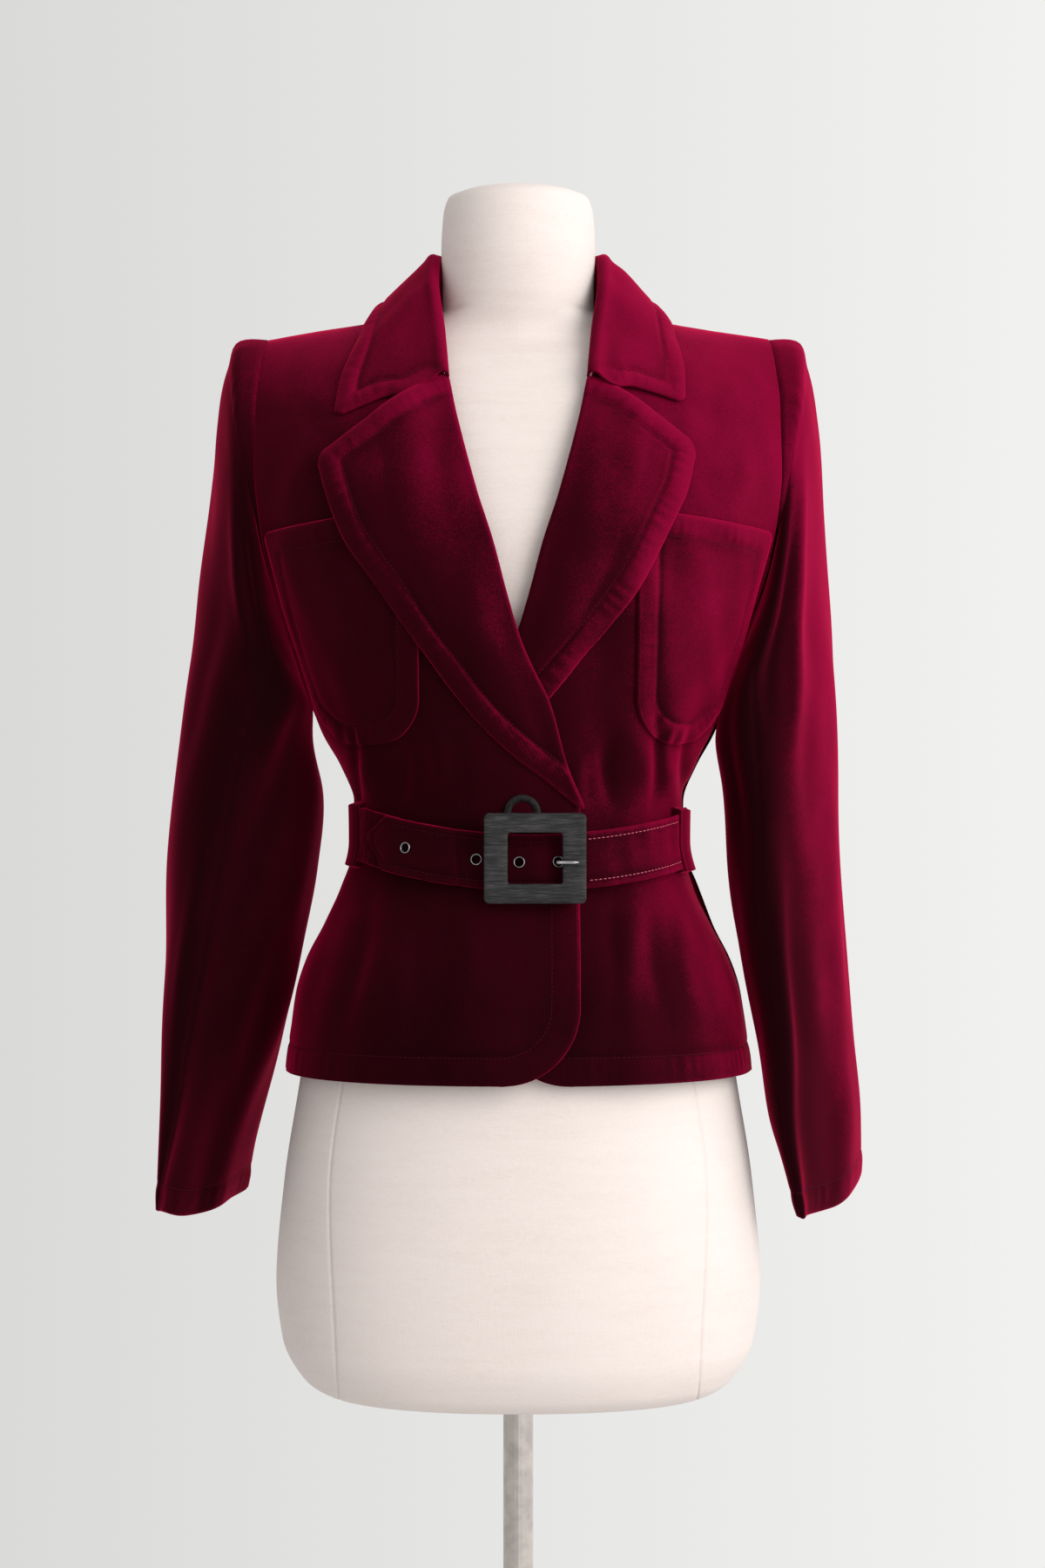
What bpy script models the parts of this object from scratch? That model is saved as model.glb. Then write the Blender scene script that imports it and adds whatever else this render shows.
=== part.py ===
"""A belted velvet jacket on a limbless dress form.

Metres, Z up, the front faces -Y. The origin is on the floor under the middle of the stand.
Right and left are the wearer's: the wearer's left is at +X.
"""
import math
from collections import namedtuple

import bmesh
import bpy
import numpy as np
from mathutils import Vector

# Driving sizes of the jacket
CLOTH = 0.0018
SEAM_GAP = 0.0003
SIDE_SEAM_TURN = 0.0016
HEM_LEVEL = 0.878
SHOULDER_LEVEL = 1.4274
SHOULDER_FALL = 0.165
SHOULDER_FALL_STARTS = 1.25
SHOULDER_FALL_FULL = 1.42
SHOULDER_SEAM_ZONE = 1.400
NECK_SQUEEZE_LEVEL = 1.300
BACK_NECK_DIP = 0.024
UNDERARM_LEVEL = 1.200
FRONT_LAP_RIGHT = 0.041
FRONT_LAP_LEFT = 0.0165
HEM_CORNER_RADIUS = 0.052
OVERLAP_RISE = 0.0025
UNDERLAP_SINK = 0.0020
LAPEL_LIFT = 0.0004
LAPEL_EDGE_RISE = 0.0046
LAPEL_RISE_STARTS = 1.157
LAPEL_RISE_FULL = 1.187
LAPEL_ROLL_GAP = 0.0008
LAPEL_LEAST_WIDTH = 0.002
POCKET_LIFT = 0.0013
POCKET_CORNER = 0.030
COLLAR_FOLD_RADIUS = 0.0042
COLLAR_LEAF_LIFT = 0.0026
COLLAR_LEAF_SWELL = 0.0008
COLLAR_RIGHT_DROP = 0.010
COLLAR_RIGHT_REACH = 0.006
COLLAR_LEFT_REACH = -0.005
SLEEVE_FRONT_SEAM = {"right": 118.0, "left": 116.0}
SLEEVE_REAR_SEAM = 262.0
SLEEVE_SEAM_GAP = 0.5
SLEEVE_MIDDLE_TOP = 0.006
SLEEVE_MIDDLE_SWING = 0.010
SLEEVE_HOLLOW_WAY = Vector((-0.75, 0.65, 0.0))
SLEEVE_HOLLOW_SPREAD = 0.16
SLEEVE_UNDERARM_EASE = 0.0012

# Driving sizes of the belt and its hardware
BELT_HEIGHT = 0.036
BELT_WALL = 0.0018
BELT_LIFT = 0.0016
BELT_LAYER = 0.0030
BELT_LEVEL_SIDE = 1.0445
BELT_FRONT_DIP = 0.0175
BELT_DIP_CENTRE_X = 0.010
BELT_DIP_HALF_WIDTH = 0.112
BELT_TIP_X = -0.0975
BELT_TIP_POINT = 0.012
BELT_INNER_END_X = -0.012
LOOP_RIGHT_X = -0.1085
LOOP_LEFT_X = 0.1095
LOOP_REACH = 0.005
LOOP_WIDTH = 0.007
LOOP_WALL = 0.0012
LOOP_END_LIFT = 0.0012
LOOP_CLEARANCE = 0.0014
BUCKLE_WIDTH = 0.069
BUCKLE_HEIGHT = 0.061
BUCKLE_WALL = 0.0065
BUCKLE_CENTRE = Vector((0.0115, 0.0, 1.030))
BUCKLE_WINDOW = (0.037, 0.0345)
BUCKLE_CORNER = 0.0035
WINDOW_BULGE = 0.0022
EYELET_X = (-0.0722, -0.0263, 0.0008, 0.0250)
EYELET_RADIUS = 0.0040
EYELET_BORE = 0.0020
EYELET_BARREL = 0.0025
EYELET_RISE = 0.0008
EYELET_LIFT = 0.0005
PRONG_RADIUS = 0.0012
BUTTON_RADIUS = 0.0125
BUTTON_WALL = 0.0034
BUTTON_CENTRE = (0.003, 1.0605)

# Driving sizes of the dress form and stand
FORM_BOTTOM = 0.652
POLE_RADIUS = 0.01075
BASE_RADIUS = 0.165
BASE_HEIGHT = 0.022

# Level sections of the jacket: half width, depth before and behind the middle line, squareness
Section = namedtuple("Section", "level half_width front back middle squareness")
BODY = (
    Section(0.860, 0.1680, 0.131, 0.130, 0.002, 2.25),
    Section(0.880, 0.1650, 0.128, 0.127, 0.002, 2.25),
    Section(0.931, 0.1580, 0.121, 0.121, 0.002, 2.25),
    Section(0.956, 0.1500, 0.115, 0.115, 0.002, 2.2),
    Section(0.981, 0.1370, 0.107, 0.106, 0.002, 2.2),
    Section(1.006, 0.1255, 0.099, 0.097, 0.002, 2.15),
    Section(1.040, 0.1165, 0.094, 0.087, 0.003, 2.1),
    Section(1.068, 0.1170, 0.096, 0.087, 0.004, 2.1),
    Section(1.093, 0.1265, 0.102, 0.091, 0.005, 2.1),
    Section(1.118, 0.1400, 0.111, 0.096, 0.006, 2.1),
    Section(1.160, 0.1553, 0.123, 0.101, 0.006, 2.1),
    Section(1.200, 0.1680, 0.129, 0.104, 0.006, 2.15),
    Section(1.240, 0.1830, 0.126, 0.107, 0.007, 2.2),
    Section(1.280, 0.1960, 0.118, 0.108, 0.008, 2.3),
    Section(1.320, 0.2040, 0.105, 0.103, 0.010, 2.3),
    Section(1.360, 0.2080, 0.086, 0.090, 0.012, 2.3),
    Section(1.390, 0.2100, 0.063, 0.073, 0.012, 2.3),
    Section(1.412, 0.2100, 0.036, 0.049, 0.012, 2.3),
    Section(1.4225, 0.2100, 0.016, 0.022, 0.012, 2.3),
    Section(1.4274, 0.2100, 0.0004, 0.0004, 0.012, 2.3),
)

# How far from the middle the armhole seam lies at each level
Armhole = namedtuple("Armhole", "level edge_x")
ARMHOLE = (
    Armhole(1.232, 0.1755),
    Armhole(1.262, 0.1800),
    Armhole(1.310, 0.1835),
    Armhole(1.370, 0.1838),
    Armhole(1.405, 0.1815),
    Armhole(1.4274, 0.1790),
)

# The line where the front turns back as the lapel, then the neck seam; negative crosses the middle
Roll = namedtuple("Roll", "level edge_x")
ROLL = (
    Roll(1.0650, -0.0410),
    Roll(1.0928, -0.0300),
    Roll(1.1354, -0.0180),
    Roll(1.1590, -0.0065),
    Roll(1.1750, 0.0005),
    Roll(1.2047, 0.0098),
    Roll(1.2426, 0.0198),
    Roll(1.2780, 0.0310),
    Roll(1.3350, 0.0450),
    Roll(1.3720, 0.0522),
    Roll(1.4000, 0.0620),
    Roll(1.4274, 0.0690),
)

# Outer edge of each lapel, from its point down to where it ends
LapelEdge = namedtuple("LapelEdge", "level edge_x")
LAPEL_RIGHT = (
    LapelEdge(1.0645, -0.0400),
    LapelEdge(1.0794, -0.0234),
    LapelEdge(1.1010, 0.0028),
    LapelEdge(1.1260, 0.0290),
    LapelEdge(1.1738, 0.0650),
    LapelEdge(1.2078, 0.0890),
    LapelEdge(1.2499, 0.1166),
    LapelEdge(1.2810, 0.1280),
    LapelEdge(1.3085, 0.1350),
)
LAPEL_LEFT = (
    LapelEdge(1.1250, 0.0105),
    LapelEdge(1.1354, 0.0187),
    LapelEdge(1.1790, 0.0546),
    LapelEdge(1.2148, 0.0810),
    LapelEdge(1.2590, 0.1036),
    LapelEdge(1.2810, 0.1131),
    LapelEdge(1.3150, 0.1200),
)
LAPEL_INNER_TOP = 1.3668
LAPEL_TOP_BOW = 1.3
NOTCH_RIGHT_X = 0.080
NOTCH_LEFT_X = 0.068
GORGE_GAP = 0.0008

# Patch pockets: inner and outer edge at each level
PocketEdge = namedtuple("PocketEdge", "level inner_x outer_x")
POCKET_RIGHT = (
    PocketEdge(1.1085, 0.0690, 0.1290),
    PocketEdge(1.1380, 0.0670, 0.1420),
    PocketEdge(1.1880, 0.0670, 0.1580),
    PocketEdge(1.2215, 0.0680, 0.1660),
    PocketEdge(1.2600, 0.0690, 0.1750),
)
POCKET_LEFT = (
    PocketEdge(1.1085, 0.0810, 0.1290),
    PocketEdge(1.1380, 0.0800, 0.1420),
    PocketEdge(1.1880, 0.0800, 0.1580),
    PocketEdge(1.2215, 0.0810, 0.1660),
    PocketEdge(1.2600, 0.0820, 0.1750),
)
POCKET_TOP_SLANT = 0.11

# Collar from the centre back (around 0) to the front ends (around 1): fold, foot of the stand, and
# the leaf's edge by how far it lies below the shoulder line, negative behind it
CollarRow = namedtuple(
    "CollarRow", "around fold_x fold_y fold_z foot_x foot_y foot_z leaf_x leaf_drop"
)
COLLAR = (
    CollarRow(0.00, 0.0000, 0.0640, 1.4580, 0.0000, 0.0615, 1.4140, 0.0000, -0.0450),
    CollarRow(0.22, 0.0310, 0.0570, 1.4590, 0.0310, 0.0545, 1.4160, 0.0520, -0.0400),
    CollarRow(0.42, 0.0530, 0.0360, 1.4610, 0.0520, 0.0340, 1.4220, 0.0880, -0.0190),
    CollarRow(0.56, 0.0610, 0.0120, 1.4590, 0.0600, 0.0110, 1.4240, 0.1040, 0.0000),
    CollarRow(0.72, 0.0605, -0.0170, 1.4380, 0.0585, -0.0140, 1.4120, 0.1110, 0.0190),
    CollarRow(0.87, 0.0555, -0.0450, 1.4010, 0.0535, -0.0400, 1.3890, 0.1180, 0.0460),
    CollarRow(1.00, 0.0520, -0.0740, 1.3635, 0.0487, -0.0700, 1.3605, 0.1190, 0.0745),
)

# Soft folds of the fronts: a ridge or trough that fades along its height
Fold = namedtuple("Fold", "side x width low high rise")
FOLDS = (
    Fold(1, 0.081, 0.011, 1.050, 1.140, 0.0035),
    Fold(1, 0.104, 0.008, 1.052, 1.125, 0.0030),
    Fold(-1, 0.098, 0.010, 1.050, 1.130, 0.0035),
    Fold(1, 0.076, 0.014, 0.900, 1.022, 0.0040),
    Fold(-1, 0.088, 0.018, 0.890, 1.020, 0.0030),
)

# Sleeve rings from the armhole to the cuff: outer and inner point in front view, half depth,
# shear of the section, depth of the long hollow that splits it into two lobes, share of the armhole
Ring = namedtuple("Ring", "outer_x outer_z inner_x inner_z half_depth shear hollow armhole")
SLEEVE_RIGHT = (
    Ring(0.1890, 1.4010, 0.1690, 1.1965, 0.0500, 0.0, 0.0, 0.85),
    Ring(0.1985, 1.3945, 0.1655, 1.1900, 0.0500, -0.05, 0.0, 0.6),
    Ring(0.2065, 1.3670, 0.1635, 1.1830, 0.0505, -0.12, 0.0, 0.35),
    Ring(0.2150, 1.3250, 0.1600, 1.1720, 0.0520, -0.25, 0.0, 0.15),
    Ring(0.2240, 1.2700, 0.1548, 1.1550, 0.0545, -0.38, 0.0, 0.0),
    Ring(0.2310, 1.2150, 0.1468, 1.1350, 0.0570, -0.34, 0.001, 0.0),
    Ring(0.2365, 1.1550, 0.1465, 1.1100, 0.0580, -0.05, 0.002, 0.0),
    Ring(0.2410, 1.1000, 0.1400, 1.0750, 0.0570, 0.20, 0.004, 0.0),
    Ring(0.2440, 1.0350, 0.1440, 1.0200, 0.0560, 0.34, 0.006, 0.0),
    Ring(0.2465, 0.9600, 0.1570, 0.9600, 0.0560, 0.40, 0.006, 0.0),
    Ring(0.2475, 0.9000, 0.1695, 0.9000, 0.0560, 0.44, 0.007, 0.0),
    Ring(0.2485, 0.8400, 0.1830, 0.8450, 0.0560, 0.46, 0.0075, 0.0),
    Ring(0.2505, 0.7950, 0.1930, 0.8000, 0.0560, 0.46, 0.0075, 0.0),
    Ring(0.2515, 0.7740, 0.1965, 0.7810, 0.0560, 0.46, 0.0075, 0.0),
)
SLEEVE_LEFT = (
    Ring(0.1890, 1.4010, 0.1690, 1.1965, 0.0500, 0.0, 0.0, 0.85),
    Ring(0.1985, 1.3945, 0.1655, 1.1900, 0.0500, 0.05, 0.0, 0.6),
    Ring(0.2060, 1.3670, 0.1635, 1.1830, 0.0505, 0.12, 0.0, 0.35),
    Ring(0.2140, 1.3250, 0.1600, 1.1720, 0.0520, 0.25, 0.0, 0.15),
    Ring(0.2205, 1.2700, 0.1538, 1.1550, 0.0545, 0.40, 0.0, 0.0),
    Ring(0.2245, 1.2150, 0.1452, 1.1350, 0.0570, 0.41, 0.001, 0.0),
    Ring(0.2270, 1.1550, 0.1392, 1.1100, 0.0580, 0.28, 0.002, 0.0),
    Ring(0.2295, 1.1000, 0.1440, 1.0750, 0.0570, 0.29, 0.004, 0.0),
    Ring(0.2325, 1.0350, 0.1490, 1.0200, 0.0560, 0.34, 0.006, 0.0),
    Ring(0.2375, 0.9600, 0.1575, 0.9600, 0.0560, 0.40, 0.006, 0.0),
    Ring(0.2430, 0.9000, 0.1685, 0.9000, 0.0560, 0.44, 0.007, 0.0),
    Ring(0.2475, 0.8450, 0.1760, 0.8400, 0.0560, 0.46, 0.0075, 0.0),
    Ring(0.2490, 0.8050, 0.1880, 0.7950, 0.0560, 0.46, 0.0075, 0.0),
    Ring(0.2500, 0.7860, 0.1930, 0.7760, 0.0560, 0.46, 0.0075, 0.0),
)

# Level sections of the dress form
FormSection = namedtuple("FormSection", "level half_width front back middle squareness")
FORM = (
    FormSection(0.6520, 0.1250, 0.090, 0.095, 0.000, 2.4),
    FormSection(0.6545, 0.1400, 0.104, 0.110, 0.000, 2.4),
    FormSection(0.6650, 0.1540, 0.117, 0.123, 0.000, 2.4),
    FormSection(0.6900, 0.1670, 0.126, 0.133, 0.000, 2.35),
    FormSection(0.7300, 0.1715, 0.128, 0.136, 0.000, 2.3),
    FormSection(0.8000, 0.1660, 0.123, 0.131, 0.001, 2.25),
    FormSection(0.8650, 0.1560, 0.115, 0.121, 0.002, 2.2),
    FormSection(0.9310, 0.1450, 0.107, 0.112, 0.002, 2.2),
    FormSection(0.9810, 0.1260, 0.095, 0.098, 0.002, 2.15),
    FormSection(1.0400, 0.1080, 0.083, 0.081, 0.003, 2.1),
    FormSection(1.0680, 0.1085, 0.084, 0.081, 0.004, 2.1),
    FormSection(1.1180, 0.1300, 0.099, 0.089, 0.006, 2.1),
    FormSection(1.1600, 0.1450, 0.111, 0.094, 0.006, 2.1),
    FormSection(1.2000, 0.1530, 0.117, 0.097, 0.006, 2.15),
    FormSection(1.2500, 0.1590, 0.112, 0.100, 0.007, 2.3),
    FormSection(1.3000, 0.1630, 0.098, 0.098, 0.009, 2.4),
    FormSection(1.3500, 0.1640, 0.078, 0.086, 0.012, 2.3),
    FormSection(1.3780, 0.1580, 0.060, 0.070, 0.012, 1.95),
    FormSection(1.3900, 0.1400, 0.049, 0.060, 0.012, 1.6),
    FormSection(1.3985, 0.1080, 0.045, 0.052, 0.012, 1.5),
    FormSection(1.4060, 0.0740, 0.044, 0.047, 0.010, 1.7),
    FormSection(1.4160, 0.0540, 0.046, 0.045, 0.008, 2.0),
    FormSection(1.4360, 0.0540, 0.050, 0.045, 0.006, 2.0),
    FormSection(1.4600, 0.0549, 0.053, 0.047, 0.005, 2.0),
    FormSection(1.4850, 0.0535, 0.052, 0.046, 0.005, 2.0),
    FormSection(1.4960, 0.0505, 0.049, 0.043, 0.005, 2.0),
    FormSection(1.5005, 0.0450, 0.043, 0.037, 0.005, 2.0),
    FormSection(1.5010, 0.0400, 0.038, 0.032, 0.005, 2.0),
)

# Mesh fineness
LAPEL_COLUMNS = 7
POCKET_COLUMNS = 8
POCKET_ROWS = 9
FRONT_COLUMNS = 13
BACK_COLUMNS = 18
SLEEVE_SIDES = 22
SLEEVE_TOP_STEPS = 12
SLEEVE_UNDER_STEPS = 10
COLLAR_ROWS = 22
LAPEL_ROWS = 14
BELT_STEPS = 56
FORM_SIDES = 28


def curve(rows, column, key="level"):
    """A smooth function through one column of a table that never overshoots its rows."""
    keys = np.array([getattr(row, key) for row in rows])
    values = np.array([getattr(row, column) for row in rows], float)
    rises = np.diff(values) / np.diff(keys)
    slopes = np.zeros(len(keys))
    same_way = rises[:-1] * rises[1:] > 0
    total = np.where(same_way, rises[:-1] + rises[1:], 1.0)
    slopes[1:-1] = np.where(same_way, 2 * rises[:-1] * rises[1:] / total, 0.0)
    slopes[0], slopes[-1] = rises[0], rises[-1]

    def at(key_value):
        position = min(max(key_value, keys[0]), keys[-1])
        index = min(max(int(np.searchsorted(keys, position)) - 1, 0), len(keys) - 2)
        span = keys[index + 1] - keys[index]
        part = (position - keys[index]) / span
        rest = 1 - part
        return (
            values[index] * rest * rest * (1 + 2 * part)
            + values[index + 1] * part * part * (1 + 2 * rest)
            + span * part * rest * (slopes[index] * rest - slopes[index + 1] * part)
        )

    return at


def smooth_step(low, high, value):
    part = min(max((value - low) / (high - low), 0.0), 1.0)
    return part * part * (3 - 2 * part)


BODY_AT = {name: curve(BODY, name) for name in Section._fields[1:]}
ARMHOLE_AT = curve(ARMHOLE, "edge_x")
ROLL_AT = curve(ROLL, "edge_x")


def shoulder_fall(level):
    """Rows tilt towards the shoulder line as they near it."""
    return SHOULDER_FALL * smooth_step(SHOULDER_FALL_STARTS, SHOULDER_FALL_FULL, level)


def fold_rise(x, level):
    """Outward height of the soft folds at a place on the fronts."""
    rise = 0.0
    for fold in FOLDS:
        across = (x - fold.side * fold.x) / fold.width
        along = (level - fold.low) / (fold.high - fold.low)
        if 0 < along < 1 and abs(across) < 2.5:
            rise += fold.rise * math.exp(-across * across) * math.sin(math.pi * along) ** 2
    return rise


def plain_point(turn, level):
    """A point of the jacket's outside: turn 0 is centre front, 1 the left side, 2 centre back."""
    sine = math.sin(math.pi / 2 * turn)
    cosine = math.cos(math.pi / 2 * turn)
    power = 2 / BODY_AT["squareness"](level)
    depth = BODY_AT["front" if cosine > 0 else "back"](level)
    x = BODY_AT["half_width"](level) * math.copysign(abs(sine) ** power, sine)
    y = BODY_AT["middle"](level) - depth * math.copysign(abs(cosine) ** power, cosine)
    return Vector((x, y, level - shoulder_fall(level) * abs(x)))


def outward(turn, level):
    """The unit normal there, from small steps along and across."""
    step = 0.004
    low = max(level - step, BODY[0].level)
    high = min(level + step, SHOULDER_LEVEL - 0.0005)
    across = plain_point(turn + step, level) - plain_point(turn - step, level)
    along = plain_point(turn, high) - plain_point(turn, min(low, high - step))
    normal = across.cross(along)
    return normal.normalized()


def body_point(turn, level, lift=0.0):
    """A point at a height above the jacket's outside, folds of the fronts counted in."""
    point = plain_point(turn, level)
    if abs(turn) < 1:
        lift += fold_rise(point.x, level)
    return point + outward(turn, level) * lift


def turn_at(x, level):
    """The turn of the front point at a distance x from the middle plane."""
    share = min(abs(x) / BODY_AT["half_width"](level), 1.0)
    angle = math.asin(share ** (BODY_AT["squareness"](level) / 2))
    return math.copysign(angle * 2 / math.pi, x)


def front_lift(side, x):
    """The right front rises over the left one where they lap."""
    if side < 0:
        return OVERLAP_RISE * smooth_step(-0.060, -0.025, x)
    return -UNDERLAP_SINK * smooth_step(-0.080, -0.055, -x)


def material(name, colour, roughness, metallic=0.0):
    made = bpy.data.materials.get(name)
    if made is None:
        made = bpy.data.materials.new(name)
        made.use_nodes = True
        shader = made.node_tree.nodes["Principled BSDF"]
        shader.inputs["Base Color"].default_value = (*colour, 1.0)
        shader.inputs["Roughness"].default_value = roughness
        shader.inputs["Metallic"].default_value = metallic
    return made


def velvet():
    return material("wine_velvet", (0.13, 0.006, 0.028), 0.8)


def add_object(name, points, faces, finish):
    mesh = bpy.data.meshes.new(name)
    mesh.from_pydata([tuple(point) for point in points], [], faces)
    builder = bmesh.new()
    builder.from_mesh(mesh)
    bmesh.ops.recalc_face_normals(builder, faces=builder.faces[:])
    builder.to_mesh(mesh)
    builder.free()
    mesh.shade_smooth()
    mesh.set_sharp_from_angle(angle=math.radians(40))
    mesh.materials.append(finish)
    made = bpy.data.objects.new(name, mesh)
    bpy.context.scene.collection.objects.link(made)
    return made


def add_wall(name, outer, inner, finish):
    """A closed wall between two grids of points."""
    rows, columns = len(outer), len(outer[0])
    points = [point for row in outer for point in row] + [point for row in inner for point in row]
    half = rows * columns
    faces = []
    for row in range(rows - 1):
        for column in range(columns - 1):
            after = column + 1
            quad = (
                row * columns + column,
                row * columns + after,
                (row + 1) * columns + after,
                (row + 1) * columns + column,
            )
            faces.append(quad)
            faces.append(tuple(half + index for index in reversed(quad)))
    for row in (0, rows - 1):
        for column in range(columns - 1):
            here = row * columns + column
            faces.append((here, here + 1, half + here + 1, half + here))
    for column in (0, columns - 1):
        for row in range(rows - 1):
            here = row * columns + column
            above = here + columns
            faces.append((here, above, half + above, half + here))
    return add_object(name, points, faces, finish)


def add_rings(name, rings, finish):
    """A closed body through stacked rings, capped flat at both ends."""
    sides = len(rings[0])
    points = [point for ring in rings for point in ring]
    faces = [tuple(range(sides)), tuple(range(len(points) - sides, len(points)))]
    for row in range(len(rings) - 1):
        for column in range(sides):
            after = (column + 1) % sides
            faces.append(
                (
                    row * sides + column,
                    row * sides + after,
                    (row + 1) * sides + after,
                    (row + 1) * sides + column,
                )
            )
    return add_object(name, points, faces, finish)


def front_levels():
    corner = [HEM_LEVEL + HEM_CORNER_RADIUS * share for share in (0.0, 0.03, 0.12, 0.3, 0.6, 1.0)]
    skirt = [0.956, 0.981, 1.006, 1.028]
    chest = [1.050, 1.0655, 1.080, 1.099, 1.118, 1.140, 1.163, 1.184]
    armhole = [UNDERARM_LEVEL, 1.203, 1.210, 1.222, 1.240, 1.268]
    shoulder = [1.300, 1.333, 1.364, 1.390, 1.409, 1.4215, SHOULDER_LEVEL]
    return corner + skirt + chest + armhole + shoulder


def front_inner_edge(side, level):
    """Distance from the middle of the front's free edge, rounded at the hem."""
    lap = FRONT_LAP_RIGHT if side < 0 else FRONT_LAP_LEFT
    if level < HEM_LEVEL + HEM_CORNER_RADIUS:
        drop = HEM_LEVEL + HEM_CORNER_RADIUS - level
        inset = HEM_CORNER_RADIUS - math.sqrt(max(HEM_CORNER_RADIUS**2 - drop**2, 0.0))
        return inset - lap
    return max(ROLL_AT(level), -lap)


def armhole_turn(level):
    """The turn of the armhole seam, rounded like a U where it meets the side seam."""
    rounded = ARMHOLE[0].level
    if level >= rounded:
        return turn_at(ARMHOLE_AT(level), level)
    share = (level - UNDERARM_LEVEL) / (rounded - UNDERARM_LEVEL)
    return 1 - (1 - turn_at(ARMHOLE[0].edge_x, rounded)) * math.sqrt(max(share, 0.0))


def panel_outer_turn(level):
    """The turn of a panel's outer edge: just short of the side seam, then along the armhole."""
    return min(1 - SIDE_SEAM_TURN, armhole_turn(level))


def build_front(name, side):
    outer, inner = [], []
    for level in front_levels():
        first = turn_at(front_inner_edge(side, level), level)
        last = panel_outer_turn(level)
        outer_row, inner_row = [], []
        for column in range(FRONT_COLUMNS + 1):
            turn = side * (first + (last - first) * column / FRONT_COLUMNS)
            lift = front_lift(side, plain_point(turn, level).x)
            outer_row.append(body_point(turn, level, lift))
            inner_point = body_point(turn, level, lift - CLOTH)
            if level > SHOULDER_SEAM_ZONE:
                inner_point.y = min(inner_point.y, BODY_AT["middle"](level) - SEAM_GAP)
            inner_row.append(inner_point)
        outer.append(outer_row)
        inner.append(inner_row)
    return add_wall(name, outer, inner, velvet())


def back_levels():
    skirt = [HEM_LEVEL, 0.931, 0.956, 0.981, 1.006, 1.025, 1.044, 1.068, 1.093, 1.118]
    chest = [1.158, UNDERARM_LEVEL, 1.203, 1.210, 1.222, 1.245, 1.280, 1.320, 1.360]
    shoulder = [1.385, 1.402, 1.4145, 1.4225, SHOULDER_LEVEL]
    return skirt + chest + shoulder


def neck_capped(share, level):
    """A level of the back, squeezed under the curved neck seam near the middle."""
    if level <= NECK_SQUEEZE_LEVEL:
        return level
    x = abs(share) * ARMHOLE_AT(SHOULDER_LEVEL)
    dip = BACK_NECK_DIP * max(1 - (x / ROLL[-1].edge_x) ** 2, 0.0)
    room = SHOULDER_LEVEL - NECK_SQUEEZE_LEVEL
    return NECK_SQUEEZE_LEVEL + (level - NECK_SQUEEZE_LEVEL) * (room - dip) / room


def build_back():
    """One piece from side seam to side seam, its neck seam dipping between the shoulders."""
    outer, inner = [], []
    for column in range(BACK_COLUMNS + 1):
        share = 2 * column / BACK_COLUMNS - 1
        outer_row, inner_row = [], []
        for level in back_levels():
            squeezed = neck_capped(share, level)
            turn = 2 + share * panel_outer_turn(squeezed)
            outer_row.append(body_point(turn, squeezed))
            inner_point = body_point(turn, squeezed, -CLOTH)
            if squeezed > SHOULDER_SEAM_ZONE:
                inner_point.y = max(inner_point.y, BODY_AT["middle"](squeezed) + SEAM_GAP)
            inner_row.append(inner_point)
        outer.append(outer_row)
        inner.append(inner_row)
    return add_wall("back", outer, inner, velvet())


def armhole_loop(side, angle):
    """A point of the armhole seam: angle 0 at the shoulder, half a turn at the underarm."""
    half = (SHOULDER_LEVEL - UNDERARM_LEVEL) / 2
    level = UNDERARM_LEVEL + half * (1 + math.cos(angle))
    turn = armhole_turn(level)
    if math.sin(angle) < 0:
        turn = 2 - turn
    return plain_point(side * turn, level)


def sleeve_ring(side, ring, angle):
    """A ring point: the outer point at angle 0, the front at a quarter turn for either side."""
    across = (ring.outer_x - ring.inner_x) / 2
    centre = Vector(
        (side * (ring.outer_x + ring.inner_x) / 2, 0.0, (ring.outer_z + ring.inner_z) / 2)
    )
    chord = Vector((side * across, 0.0, (ring.outer_z - ring.inner_z) / 2))
    depth = -ring.half_depth * math.sin(angle)
    spread = ring.shear * ring.half_depth / chord.length
    narrowed = math.sqrt(max(1 - spread * spread, 0.1))
    along = narrowed * math.cos(angle) + side * spread * depth / ring.half_depth
    middle = SLEEVE_MIDDLE_TOP - SLEEVE_MIDDLE_SWING * smooth_step(UNDERARM_LEVEL, 0.8, centre.z)
    point = centre + chord * along + Vector((0.0, middle + depth, 0.0))
    facing = SLEEVE_HOLLOW_WAY.y * math.sin(angle) - SLEEVE_HOLLOW_WAY.x * side * math.cos(angle)
    push = ring.hollow * math.exp(-((1 - facing) / SLEEVE_HOLLOW_SPREAD) ** 2)
    point += SLEEVE_HOLLOW_WAY * push
    seam = armhole_loop(side, angle)
    head = ring.outer_x - ARMHOLE[-1].edge_x
    seam.x += side * (SLEEVE_UNDERARM_EASE + head * (0.5 + 0.5 * math.cos(angle)))
    return point.lerp(seam, ring.armhole)


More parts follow.
